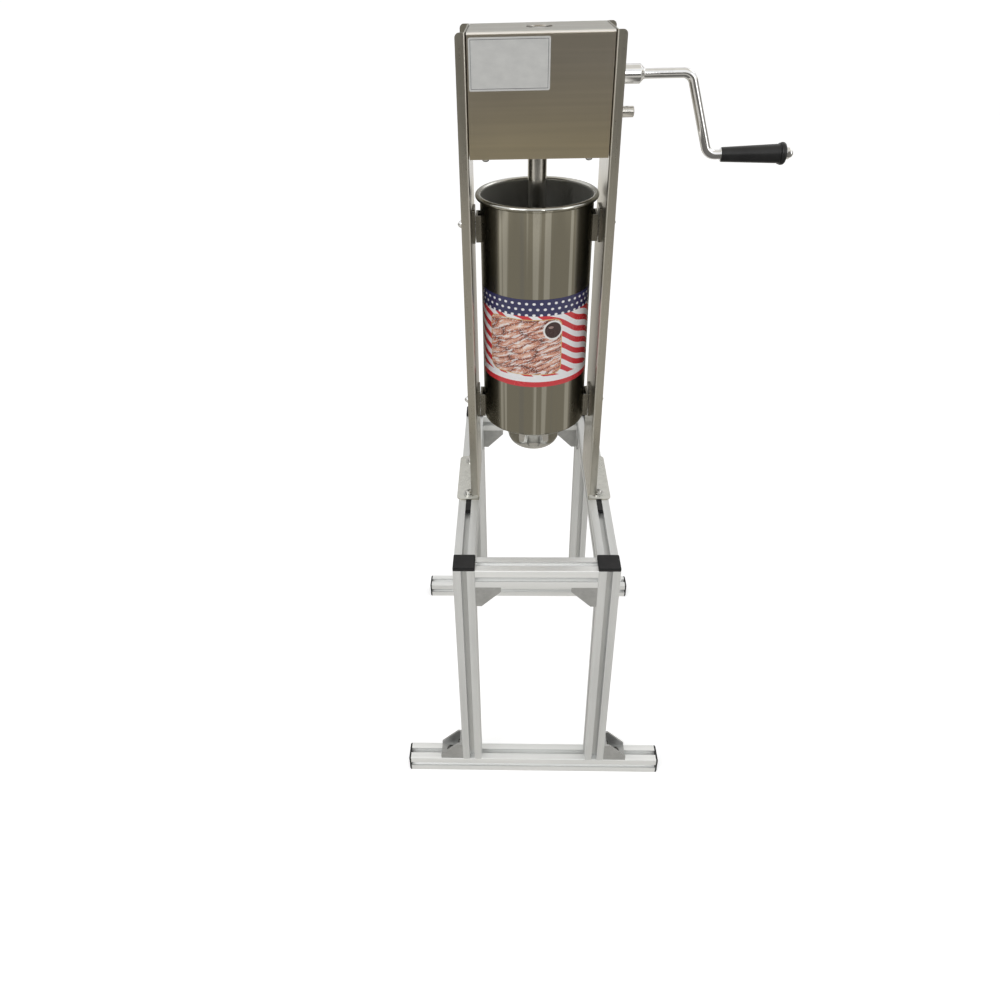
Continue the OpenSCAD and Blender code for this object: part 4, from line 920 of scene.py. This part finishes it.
class Look(Enum):
    """Every finish of the machine."""

    ANODISED = MetalFinish(
        "anodised_profile", (0.77, 0.78, 0.77), (0.72, 0.73, 0.72), 0.38, grain_rough=0.08,
        tone_scale=7.0, edge_radius=0.001, edge_highlight=1.0, marks=0.04, metallic=0.5)
    # a lighter copy for the bars along X, painted light where they catch more of it
    ANODISED_BRIGHT = replace(ANODISED, colour=(0.93, 0.94, 0.93), tone=(0.88, 0.89, 0.88))
    # the lighter tops (crown) and the fold highlights are painted light
    BRUSHED = MetalFinish(
        "brushed_sheet", (0.50, 0.48, 0.425), (0.45, 0.43, 0.37), 0.28, grain_scale=900.0,
        grain_depth=0.012, grain_rough=0.1, tone_scale=6.0, edge_radius=0.0006, edge_highlight=0.8,
        marks=0.06, fold_highlight=0.4, crown=(0.64, 0.64, 0.6))
    # a golden tone towards the bottom, a painted reflection; lighter tops and fold highlights are
    # painted light
    COVER = MetalFinish(
        "cover_sheet", (0.47, 0.43, 0.36), (0.56, 0.49, 0.345), 0.3, ALONG[Axis.X],
        grain_scale=900.0, grain_depth=0.006, tone_scale=5.0, edge_radius=0.0008, edge_highlight=0.9,
        fold_highlight=0.9, tone_rise=(1.03, 0.94), crown=(0.76, 0.76, 0.735))
    HANGER = MetalFinish(
        "hanger_steel", (0.24, 0.225, 0.19), (0.17, 0.16, 0.135), 0.26, ALONG[Axis.Z],
        grain_scale=900.0, grain_rough=0.1, tone_scale=14.0, edge_radius=0.0006, edge_highlight=0.9,
        marks=0.06)
    CAST = MetalFinish(
        "cast_alloy", (0.50, 0.505, 0.50), (0.43, 0.435, 0.43), 0.42, grain_scale=1300.0,
        grain_depth=0.25, grain_rough=0.1, edge_radius=0.0007, edge_highlight=0.6, metallic=0.7)
    ZINC = MetalFinish(
        "zinc_plate", (0.58, 0.58, 0.56), (0.50, 0.50, 0.48), 0.24, grain_scale=800.0,
        tone_scale=60.0, edge_radius=0.0003)
    # dark bolt heads stand in for the shade in the brackets' slots: painted shade, with painted
    # edge highlights
    SLOT_SHADE_BOLT = MetalFinish(
        "oiled_bolt", (0.12, 0.12, 0.115), (0.08, 0.08, 0.078), 0.2, grain_scale=800.0,
        tone_scale=60.0, edge_radius=0.0006, edge_highlight=1.0)
    CHROME = MetalFinish(
        "chrome_plate", (0.84, 0.845, 0.85), (0.79, 0.795, 0.80), 0.07, grain_scale=400.0,
        grain_depth=0.012, grain_rough=0.03, tone_scale=22.0, edge_radius=0.0004, edge_highlight=0.2,
        marks=0.07)
    OUTLET = MetalFinish(
        "outlet_polish", (0.55, 0.545, 0.52), (0.47, 0.46, 0.43), 0.05, (1.0, 1.0, 8.0),
        grain_scale=400.0, grain_depth=0.02, grain_rough=0.04, edge_radius=0.0006, edge_highlight=0.3,
        marks=0.08)
    ROD = MetalFinish(
        "rod_steel", (0.58, 0.57, 0.54), (0.50, 0.49, 0.46), 0.14, ALONG[Axis.Z],
        grain_scale=500.0, grain_depth=0.008, grain_rough=0.05, edge_radius=0.0004, marks=0.08)
    MACHINED = MetalFinish(
        "machined_steel", (0.47, 0.47, 0.47), (0.39, 0.38, 0.37), 0.28, grain_scale=600.0,
        grain_depth=0.12, grain_rough=0.12, tone_scale=18.0, edge_highlight=0.5)
    TURNED = MetalFinish(
        "turned_stainless", (0.62, 0.605, 0.57), (0.55, 0.535, 0.49), 0.2, (1.0, 1.0, 12.0),
        grain_scale=350.0, grain_depth=0.06, grain_rough=0.08, tone_scale=14.0)
    BRONZE = MetalFinish(
        "turned_bronze", (0.68, 0.48, 0.25), (0.56, 0.37, 0.18), 0.26, (6.0, 1.0, 1.0),
        grain_scale=350.0, grain_depth=0.06, grain_rough=0.1, tone_scale=25.0, edge_highlight=0.35)
    VESSEL = PolishedVesselFinish(
        "polished_vessel", (0.45, 0.435, 0.375), (0.26, 0.245, 0.195), (0.24, 0.23, 0.195),
        inside_r=0.0718, rim_z=0.871)
    CAP = MouldedFinish("black_moulding", (0.014, 0.014, 0.015), (0.022, 0.022, 0.023), 0.45)
    GRIP = MouldedFinish("satin_black_grip", (0.012, 0.012, 0.013), (0.02, 0.02, 0.02), 0.3,
                         skin_scale=2600.0, skin_depth=0.05, sheen=0.4)
    SEAL = MouldedFinish("milky_silicone", (0.78, 0.76, 0.71), (0.72, 0.7, 0.65), 0.45,
                         edge_highlight=0.35, sheen=0.5)
    PRINT = WrapPrintFinish("printed_film")
    BLANK = BlankFilmFinish("blank_film")


@dataclass
class Wardrobe:
    """The materials, built once each and handed out by their look."""

    effects: SharedEffects = field(default_factory=SharedEffects)
    built: dict[str, Material] = field(default_factory=dict)

    def get(self, look: Look, grain: Axis | None = None) -> Material:
        """A look's material, made on first use.

        Args:
            look: Which finish.
            grain: The axis that its grain follows, if not the finish's own.

        Returns:
            The material.
        """
        finish = look.value
        if grain:
            finish = replace(finish, name=f"{finish.name}_{grain.name.lower()}",
                             stretch=ALONG[grain])
        if finish.name not in self.built:
            self.built[finish.name] = finish.build(self.effects)
        return self.built[finish.name]


# ---------------------------------------------------------------- sub-assemblies


@dataclass
class Assembly:
    """A sub-assembly: a label, the finishes it takes, and the new pieces it made."""

    label: str
    wardrobe: Wardrobe
    made: list[bpy.types.Object] = field(default_factory=list)

    def dress(self, look: Look, *nodes: str, grain: Axis | None = None) -> None:
        """Puts a finish on CAD nodes, in all of their slots."""
        for name in nodes:
            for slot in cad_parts[name].material_slots:
                slot.material = self.wardrobe.get(look, grain)

    def add(self, name: str, shells: Sequence[Shell], look: Look, body: str, slot: str,
            *replaced: str, sharp_deg: float = 32.0, uv: np.ndarray | None = None) -> None:
        """Makes a new piece at the origin, lets it ride on a body, and hides the CAD nodes it
        stands for.

        Args:
            name: The piece's name.
            shells: Its closed surfaces; each is turned so that it faces outwards.
            look: What it is dressed in.
            body: The CAD body that it moves with.
            slot: Not used.
            *replaced: CAD nodes that it stands for.
            sharp_deg: Edges that turn by more than this stay crisp.
            uv: Surface coordinates of its points.
        """
        points: list[np.ndarray] = []
        faces: list[list[int]] = []
        base = 0
        for pts, rows in shells:
            step = -1 if signed_volume(pts, rows) < 0 else 1
            faces += [[base + i for i in row[::step]] for row in rows]
            points.append(pts)
            base += len(pts)
        mesh = new_mesh(name, np.concatenate(points), faces, self.wardrobe.get(look), uv)
        mesh.shade_smooth()
        mesh.set_sharp_from_angle(angle=math.radians(sharp_deg))
        mesh.validate()
        obj = placed(name, mesh)
        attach(obj, body)
        if replaced:
            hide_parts(*replaced)
        self.made.append(obj)


@dataclass
class ProfileStand(Assembly):
    """Slotted aluminium bars, their caps, corner brackets, bolts and nuts."""

    def build(self) -> None:
        """Dresses the bars with drawing lines along each of them, and their small parts."""
        # the bars along X take the lighter copy, which is painted light
        self.dress(Look.ANODISED_BRIGHT, "base_bar_front", "base_bar_rear", "cross_rail_front",
                   "cross_rail_rear", grain=Axis.X)
        self.dress(Look.ANODISED, "side_rail_left", "side_rail_right", grain=Axis.Y)
        self.dress(Look.ANODISED, "leg_front_left", "leg_front_right", "leg_rear_left",
                   "leg_rear_right", grain=Axis.Z)
        self.dress(Look.CAP, "base_bar_caps", "leg_caps", "foot_nut_bars")
        self.dress(Look.CAST, "base_brackets", "cross_brackets", "side_brackets")
        # the dark bolts paint the shade in the brackets' slots
        self.dress(Look.SLOT_SHADE_BOLT, "bracket_bolts")
        self.dress(Look.ZINC, "slot_nuts")


@dataclass
class ChannelPosts(Assembly):
    """The two folded posts with their foot bolts."""

    bolt_x: float = 0.098
    bolt_y: float = 0.045
    head_r: float = 0.0058
    head_rim: float = 0.0016
    head_high: float = 0.0045
    socket_r: float = 0.0022
    seat: float = 0.0001

    def build(self) -> None:
        """Dresses the posts with an upright grain, and makes the bolts' button heads."""
        self.dress(Look.BRUSHED, "post_left", "post_right", grain=Axis.Z)
        self.dress(Look.ZINC, "foot_washers")
        head = dome_outline(self.head_r, self.head_rim, self.head_high, self.socket_r)
        level = float(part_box("foot_washers")[1][2]) + self.seat
        heads = [turned(head, (AXIS_X + x, y, level), Axis.Z, False, 48)
                 for x in (-self.bolt_x, self.bolt_x) for y in (-self.bolt_y, self.bolt_y)]
        self.add("foot_button_heads", heads, Look.ZINC, "stand_and_frame", "zinc_steel",
                 "foot_bolts")


@dataclass
class DoughVessel(Assembly):
    """The polished cylinder, its printed film and its hangers."""

    outer: float = 0.0725
    wall: float = 0.0015
    low: float = 0.553
    height: float = 0.321
    bend: float = 0.004
    floor: float = 0.002
    corner: float = 0.02
    roll_at: float = 0.07525
    roll: float = 0.00325
    flare: float = 0.0045
    spout_bore: float = 0.023
    film_low: float = 0.632
    film_high: float = 0.757
    film_turn: float = math.radians(79)
    film_under: float = 0.0001
    film_over: float = 0.0003
    nut: CapNut = CapNut(0.0065, 0.0085, 0.0058, 0.0095)
    nut_x: float = 0.0842
    nut_levels: tuple[float, float] = (0.573, 0.833)

    def shell(self) -> np.ndarray:
        """The cylinder's section as a closed outline: floor, bend, wall and a rim rolled outwards.

        The wall's inner face flares into the roll's top along a quarter of an ellipse.

        Returns:
            The closed outline, radii and heights.
        """
        inner = self.outer - self.wall
        floor_part = filleted([(self.spout_bore, 0.0, 0.0), (self.outer, 0.0, self.bend),
                               (self.outer, self.corner, 0.0)], False, 10)
        centre = np.array([self.roll_at, self.height - self.roll])
        start = math.atan2(-math.sqrt(self.roll ** 2 - (self.roll_at - self.outer) ** 2),
                           self.outer - self.roll_at)
        angle = np.linspace(start, math.pi / 2, 33)
        rim = centre + self.roll * np.stack([np.cos(angle), np.sin(angle)], axis=1)
        quarter = np.linspace(0, math.pi / 2, 13)[1:]
        flare = np.stack([self.roll_at - (self.roll_at - inner) * np.sin(quarter),
                          self.height - self.flare * (1 - np.cos(quarter))], axis=1)
        inside = filleted([(inner, self.corner, 0.0), (inner, self.floor, self.bend - self.wall),
                           (self.spout_bore, self.floor, 0.0)], False, 8)
        return np.concatenate([floor_part, rim, flare, inside])

    def film(self, across: int = 90, rows: int = 12) -> tuple[Shell, np.ndarray]:
        """The printed film, a patch of the wall from angle -a to a: (r sin t, -r cos t, z).

        Angle 0 faces the front. The closed loop of the patch's section goes up its outer face and
        down its inner face.

        Args:
            across: Points round the film.
            rows: Points up it.

        Returns:
            The patch, and its surface coordinates.
        """
        turn = np.linspace(-self.film_turn, self.film_turn, across)[:, None]
        rise = np.linspace(self.film_low, self.film_high, rows)
        radius = np.repeat([self.outer + self.film_over, self.outer + self.film_under], rows)
        height = np.concatenate([rise, rise[::-1]])
        loop = 2 * rows
        pts, uv = np.zeros((across, loop, 3)), np.zeros((across, loop, 2))
        pts[..., 0] = AXIS_X + radius * np.sin(turn)
        pts[..., 1] = -radius * np.cos(turn)
        pts[..., 2] = height
        uv[..., 0] = np.linspace(0, 1, across)[:, None]
        uv[..., 1] = (height - self.film_low) / (self.film_high - self.film_low)
        k = np.arange(rows - 1)
        side = np.stack([k, k + 1, loop - 2 - k, loop - 1 - k], 1)
        faces = [*grid_faces(across, loop).tolist(), *side.tolist(),
                 *(side[:, ::-1] + (across - 1) * loop).tolist()]
        return (pts.reshape(-1, 3), faces), uv.reshape(-1, 2)

    def build(self) -> None:
        """Makes the cylinder, its film and the hangers' cap nuts, and dresses the hangers."""
        vessel = turned(self.shell(), (AXIS_X, 0.0, self.low), Axis.Z, True, 220)
        self.add("vessel_wall", [vessel], Look.VESSEL, "stand_and_frame", "polished_stainless",
                 "dough_cylinder")
        film, uv = self.film()
        self.add("vessel_film", [film], Look.PRINT, "stand_and_frame", "polished_stainless", uv=uv)
        self.dress(Look.HANGER, "hanger_plates", "cylinder_lugs")
        self.dress(Look.ZINC, "hanger_bolts")
        nuts = [self.nut.shell((AXIS_X + side * self.nut_x, 0.0, level), side)
                for side in (-1, 1) for level in self.nut_levels]
        self.add("hanger_cap_nuts", nuts, Look.CHROME, "stand_and_frame", "chrome", "acorn_nuts",
                 sharp_deg=25.0)


@dataclass
class Outlet(Assembly):
    """Spout, nozzle plate and the bowl-shaped outlet nut."""

    radius: float = 0.038
    low: float = 0.502
    high: float = 0.549
    rounding: float = 0.018
    shelf: float = 0.0088
    mouth_low: float = 0.019
    mouth_high: float = 0.0165
    bore: float = 0.0283
    edges: Triple = (0.0004, 0.0008, 0.0012)

    def section(self) -> np.ndarray:
        """The nut's section: a bored ring whose rounded lower edge closes in to the mouth.

        Returns:
            The closed outline, radii and heights.
        """
        top = self.high - self.low
        small, medium, large = self.edges
        return filleted([
            (self.mouth_low, 0.0, medium), (self.radius, 0.0, self.rounding),
            (self.radius, top, large), (self.bore, top, medium),
            (self.bore, self.shelf, small), (self.mouth_high, self.shelf, small),
        ], True, 10)

    def build(self) -> None:
        """Makes the nut and dresses what it holds."""
        nut = turned(self.section(), (AXIS_X, 0.0, self.low), Axis.Z, True, 160)
        self.add("outlet_bowl", [nut], Look.OUTLET, "outlet_nut", "chrome", "outlet_nut")
        self.dress(Look.TURNED, "outlet_spout", "nozzle_plate")


@dataclass
class GearHousing(Assembly):
    """The folded cover with its base, screws, side plates and bushes."""

    plate_low: Triple = (-0.0795, -0.0552, 0.999)
    plate_high: Triple = (0.011, -0.05502, 1.053)
    plate_corner: float = 0.002
    screw_x: tuple[float, float] = (-0.0626, 0.0589)
    screw_y: float = -0.049
    screw_z: float = 0.9249
    screw_r: float = 0.0042
    screw_rim: float = 0.0008
    screw_high: float = 0.0036

    def blank_plate(self) -> tuple[Shell, np.ndarray]:
        """A thin plate on the cover's front: a rounded outline, carried front to back.

        Returns:
            The plate, and its surface coordinates.
        """
        x0, y0, z0 = self.plate_low
        x1, y1, z1 = self.plate_high
        corners = ((x0, z0), (x1, z0), (x1, z1), (x0, z1))
        edge = filleted([(x, z, self.plate_corner) for x, z in corners], True, 5)
        count = len(edge)
        front = np.stack([edge[:, 0] + AXIS_X, np.full(count, y0), edge[:, 1]], axis=1)
        points = np.concatenate([front, front + np.array([0.0, y1 - y0, 0.0])])
        k = np.arange(count)
        nxt = (k + 1) % count
        faces = np.stack([k, nxt, nxt + count, k + count], 1).tolist()
        faces += [k[::-1].tolist(), (k + count).tolist()]
        return (points, faces), np.tile((edge - [x0, z0]) / [x1 - x0, z1 - z0], (2, 1))

    def build(self) -> None:
        """Makes the blank plate and the edge screws, and dresses the housing."""
        plate, uv = self.blank_plate()
        self.add("housing_blank_plate", [plate], Look.BLANK, "stand_and_frame",
                 "brushed_stainless", uv=uv)
        head = dome_outline(self.screw_r, self.screw_rim, self.screw_high) * [1, -1]
        screws = [turned(head, (AXIS_X + x, self.screw_y, self.screw_z), Axis.Z, False, 40)
                  for x in self.screw_x]
        self.add("housing_edge_screws", screws, Look.ZINC, "stand_and_frame", "zinc_steel")
        self.dress(Look.COVER, "housing_cover", "housing_base")
        self.dress(Look.ZINC, "base_screws", "side_bolts")
        self.dress(Look.MACHINED, "side_plate_left", "side_plate_right", "guide_bridge",
                   grain=Axis.Z)
        self.dress(Look.BRONZE, "shaft_bushes", "rod_guide_lower", "rod_guide_upper")


@dataclass
class GearTrain(Assembly):
    """Shafts, gears, collars and pins."""

    def build(self) -> None:
        """Dresses the train's turned and cut parts."""
        self.dress(Look.TURNED, "upper_shaft", "lower_shaft")
        self.dress(Look.MACHINED, "small_gear", "large_gear", "rack_pinion", "upper_collars",
                   "lower_collars", grain=Axis.X)
        self.dress(Look.ZINC, "upper_pins", "lower_pins")


@dataclass
class Plunger(Assembly):
    """Rack rod and piston."""

    rod_top: float = 1.0564
    end_r: float = 0.0085
    end_rim: float = 0.0004
    end_high: float = 0.0015

    def build(self) -> None:
        """Makes the rod's domed end and dresses the rod, the piston and its seal."""
        dome = dome_outline(self.end_r, self.end_rim, self.end_high)
        end = turned(dome, (AXIS_X, 0.0, self.rod_top), Axis.Z, False, 64)
        self.add("rod_end_dome", [end], Look.CHROME, "plunger", "chrome")
        self.dress(Look.ROD, "rack_rod")
        self.dress(Look.CHROME, "air_valve")
        self.dress(Look.TURNED, "piston")
        self.dress(Look.ZINC, "piston_nut")
        self.dress(Look.SEAL, "piston_seal")


@dataclass
class CrankHandle(Assembly):
    """The bent crank with its hub, the turning grip and its cap nut."""

    y: float = 0.019
    upper_z: float = 1.004
    hub_x: float = 0.088
    hub_r: float = 0.011
    hub_len: float = 0.033
    cone_len: float = 0.005
    cone_run: float = 0.02
    rod_r: float = 0.00575
    rod_end: float = 0.0005
    bend_x: float = 0.182
    run: float = 0.030
    throw: float = 0.094
    bend_r: float = 0.014
    grip_x: float = 0.229
    grip_gap: float = 0.0014
    grip_len: float = 0.079
    grip_thin: float = 0.00875
    grip_thick: float = 0.0115
    collar_r: float = 0.0135
    collar_len: float = 0.0075
    spindle_r: float = 0.004
    spindle_back: float = 0.0016
    spindle_over: float = 0.0024
    end_nut: CapNut = CapNut(0.0063, 0.0042, 0.0055, 0.0047)

    def bar(self) -> Shell:
        """Hub, cone and bent rod as one bar: its radius steps down along the line, edges rounded.

        The middle line is two straight runs and a slanting one in X and Z, joined by arcs.

        Returns:
            Points and faces.
        """
        low_x, low_z = self.bend_x + self.run, self.upper_z - self.throw
        line = filleted([
            (self.hub_x, self.upper_z, 0.0), (self.bend_x, self.upper_z, self.bend_r),
            (low_x, low_z, self.bend_r), (self.grip_x - self.grip_gap, low_z, 0.0),
        ], False, 22)[1:]
        hub_end = self.hub_x + self.hub_len
        steps = filleted([
            (self.hub_x, 0.0, 0.0), (self.hub_x, self.hub_r, 0.0008), (hub_end, self.hub_r, 0.0012),
            (hub_end + self.cone_len, self.rod_r, 0.003),
            (hub_end + self.cone_run, self.rod_r, 0.0),
        ], False, 5)[1:]
        head = np.stack([steps[:, 0], np.full(len(steps), self.upper_z)], axis=1)
        path = np.concatenate([head, line, line[-1:] + [self.rod_end, 0.0]])
        radius = np.concatenate([steps[:, 1], np.full(len(line), self.rod_r),
                                 [self.rod_r - self.rod_end]])
        return swept_in_xz(path + [AXIS_X, 0.0], radius, self.y)

    def grip_outline(self) -> np.ndarray:
        """Half section of the grip round its spindle: a taper that flares to a rounded collar.

        Returns:
            The closed outline, radii and heights.
        """
        body = self.grip_len - self.collar_len
        bore = self.spindle_r + 0.0001
        rounding = self.collar_len * 0.45
        return filleted([
            (bore, 0.0, 0.0003), (self.grip_thin, 0.0, 0.0016), (self.grip_thick, body, 0.0012),
            (self.collar_r, body, rounding), (self.collar_r, self.grip_len, rounding),
            (bore, self.grip_len, 0.0003),
        ], True, 8)

    def build(self) -> None:
        """Makes crank, grip and cap nut."""
        x, z = AXIS_X + self.grip_x, self.upper_z - self.throw
        back, front = -self.spindle_back, self.grip_len + self.spindle_over
        radius = self.spindle_r
        spindle = np.array([(0.0, back), (radius, back), (radius, front), (0.0, front)])
        shells = [self.bar(), turned(spindle, (x, self.y, z), Axis.X, False, 40)]
        self.add("crank_bar", shells, Look.CHROME, "crank", "chrome", "crank_arm")
        grip = turned(self.grip_outline(), (x, self.y, z), Axis.X, True, 96)
        self.add("grip_moulding", [grip], Look.GRIP, "grip", "grip_plastic", "grip")
        nut = self.end_nut.shell((x + self.grip_len + self.grip_gap, self.y, z))
        self.add("grip_cap_nut", [nut], Look.CHROME, "crank", "chrome", "grip_end_nut",
                 sharp_deg=25.0)
        self.dress(Look.CHROME, "grip_washers")


# ---------------------------------------------------------------- studio


@dataclass(frozen=True)
class Lamp:
    """A soft rectangular lamp that looks at a point."""

    name: str
    at: Triple
    size: tuple[float, float]
    power: float
    target: Triple = (AXIS_X, 0.0, 0.65)

    def build(self) -> None:
        """Adds the lamp to the scene."""
        data = bpy.data.lights.new(self.name, "AREA")
        data.shape = "RECTANGLE"
        data.size, data.size_y = self.size
        data.energy = self.power
        obj = placed(self.name, data)
        obj.location = self.at
        aim = Vector(self.target) - Vector(self.at)
        obj.rotation_euler = aim.to_track_quat("-Z", "Y").to_euler()


@dataclass(frozen=True)
class DarkCard:
    """A soft-edged dark card that only mirror-like surfaces see, as a photographer hangs one.

    A point is centre + a across + b rise for a and b from -1 to 1. Its glow eases from level in
    the middle to the background's white at the border, over the share soft of its half width.
    """

    name: str
    centre: Triple
    across: Triple
    rise: Triple
    level: float
    soft: float = 0.4

    def build(self) -> None:
        """Adds the card to the stage."""
        g = MaterialGraph(self.name)
        across, up = (g.times(g.math("PINGPONG", part, 0.5), 2.0) for part in g.parts(g.uv())[:2])
        reach = g.math("SUBTRACT", 1.0, g.math("MINIMUM", across, up))
        glow = g.span(reach, 1.0 - self.soft, 1.0, self.level, 1.0, "SMOOTHSTEP")
        shine = g.add("Emission", Color=(1.0, 0.96, 0.88), Strength=glow)
        g.add("OutputMaterial", Surface=shine.outputs[0])
        uv = np.array([(0.0, 0.0), (1.0, 0.0), (1.0, 1.0), (0.0, 1.0)])
        points = np.array(self.centre) + (2 * uv - 1) @ np.array([self.across, self.rise])
        obj = placed(self.name, new_mesh(self.name, points, [[0, 1, 2, 3]], g.material, uv))
        obj.visible_camera = obj.visible_diffuse = obj.visible_shadow = False
        obj.visible_transmission = False


CARDS = (
    DarkCard("front_card", (0.0, -3.2, 0.8), (3.4, 0.0, 0.0), (0.0, 0.0, 1.4), 0.16),
    DarkCard("left_card", (-3.0, 0.6, 0.7), (0.0, 2.8, 0.0), (0.0, 0.0, 1.2), 0.3),
    DarkCard("right_card", (3.0, 0.6, 0.7), (0.0, 2.8, 0.0), (0.0, 0.0, 1.2), 0.3),
    DarkCard("back_card", (0.0, 3.4, 1.5), (3.2, 0.0, 0.0), (0.0, 0.0, 0.42), 0.2),
    DarkCard("high_card", (0.0, 3.4, 2.1), (3.2, 0.0, 0.0), (0.0, 0.0, 0.6), 0.32),
    DarkCard("top_card", (0.3, 0.6, 4.2), (3.0, 0.0, 0.0), (0.0, 2.2, 0.0), 0.75),
    DarkCard("crank_card", (0.205, -0.07, 0.885), (0.15, 0.0, 0.0), (0.0, 0.1, 0.0), 0.16, 0.15),
    DarkCard("floor_card", (0.0, 0.0, -0.0002), (3.6, 0.0, 0.0), (0.0, 3.6, 0.0), 0.56),
)
LAMPS = (
    Lamp("key_light", (-1.6, -1.9, 2.3), (1.3, 1.3), 20.0),
    Lamp("fill_light", (2.2, -1.4, 1.6), (1.0, 1.6), 8.0),
    Lamp("strip_light", (0.35, -2.2, 1.8), (0.14, 1.0), 1.7),
    Lamp("back_light", (2.2, 1.9, 2.9), (1.6, 1.0), 8.0),
)


@dataclass
class Studio:
    """Floor, lamps, world light and the camera at the photograph's angle."""

    camera_at: Triple = (-0.0921, -1.0199, 1.1427)
    yaw_deg: float = -2.59
    pitch_deg: float = 33.15
    roll_deg: float = -1.59
    lens_mm: float = 28.41
    shift: tuple[float, float] = (0.0186, -0.0457)
    dome_level: float = 0.60
    floor_glow: float = 0.52
    floor_z: float = -0.0004
    floor_rings: tuple[float, ...] = (1.0, 3.0, 9.0, 30.0)
    floor_sides: int = 64

    def floor(self) -> None:
        """A large round pale floor, a little under the feet."""
        g = MaterialGraph("pale_floor")
        material = g.principled(
            (0.8, 0.8, 0.8), 0.6, Specular_IOR_Level=0.1, Emission_Color=(1.0, 1.0, 1.0),
            Emission_Strength=g.times(g.seen(), self.floor_glow))
        sides = self.floor_sides
        cos_t, sin_t = circle(sides)
        rings = np.array(self.floor_rings)[:, None]
        level = np.full((len(rings), sides), self.floor_z)
        pts = np.stack([rings * cos_t, rings * sin_t, level], axis=-1)
        pts = np.concatenate([pts.reshape(-1, 3), [[0.0, 0.0, self.floor_z]]])
        k = np.arange(sides)
        faces = grid_faces(len(rings), sides)[:, ::-1].tolist()
        faces += np.stack([np.full(sides, len(pts) - 1), k, (k + 1) % sides], 1).tolist()
        placed("studio_floor", new_mesh("studio_floor", pts, faces, material))

    def world(self) -> None:
        """Even white light, and plain white where the camera or a mirror sees past the floor."""
        world = bpy.data.worlds.new("studio_light")
        bpy.context.scene.world = world
        world.use_nodes = True
        world.node_tree.nodes.clear()
        g = Graph(world.node_tree)
        back = g.add("Background", Color=(1.0, 1.0, 1.0),
                     Strength=g.span(g.seen(), 0.0, 1.0, self.dome_level, 1.0))
        g.add("OutputWorld", Surface=back.outputs[0])

    def camera(self) -> None:
        """The camera where the fit to the photograph puts it, turned by yaw, pitch and roll."""
        yaw, pitch, roll = (math.radians(a) for a in (self.yaw_deg, self.pitch_deg, self.roll_deg))
        flat = math.cos(pitch)
        forward = Vector((math.sin(yaw) * flat, math.cos(yaw) * flat, -math.sin(pitch)))
        right = Vector((math.cos(yaw), -math.sin(yaw), 0.0))
        up = right.cross(forward)
        right, up = (math.cos(roll) * right + math.sin(roll) * up,
                     -math.sin(roll) * right + math.cos(roll) * up)
        data = bpy.data.cameras.new("photo_camera")
        data.lens = self.lens_mm
        data.shift_x, data.shift_y = self.shift
        data.clip_end = 100.0
        obj = placed("photo_camera", data)
        turn = Matrix((right, up, -forward)).transposed().to_4x4()
        obj.matrix_world = Matrix.Translation(self.camera_at) @ turn
        bpy.context.scene.camera = obj

    def build(self) -> None:
        """Sets up the whole studio with its colours shown as written."""
        self.floor()
        self.world()
        self.camera()
        for thing in (*CARDS, *LAMPS):
            thing.build()
        bpy.context.scene.view_settings.view_transform = "Standard"


def main() -> None:
    """Builds the machine's sub-assemblies in order, then the studio."""
    logging.basicConfig(level=logging.INFO, format="%(name)s: %(message)s")
    wardrobe = Wardrobe()
    for assembly in (
        ProfileStand("profile stand", wardrobe),
        ChannelPosts("channel posts", wardrobe),
        DoughVessel("dough vessel", wardrobe),
        Outlet("outlet", wardrobe),
        GearHousing("gear housing", wardrobe),
        GearTrain("gear train", wardrobe),
        Plunger("plunger", wardrobe),
        CrankHandle("crank handle", wardrobe),
    ):
        assembly.build()
        for piece in assembly.made:
            log.info("%s: %s, %d faces", assembly.label, piece.name, len(piece.data.polygons))
    Studio().build()


if __name__ == "__main__":
    main()
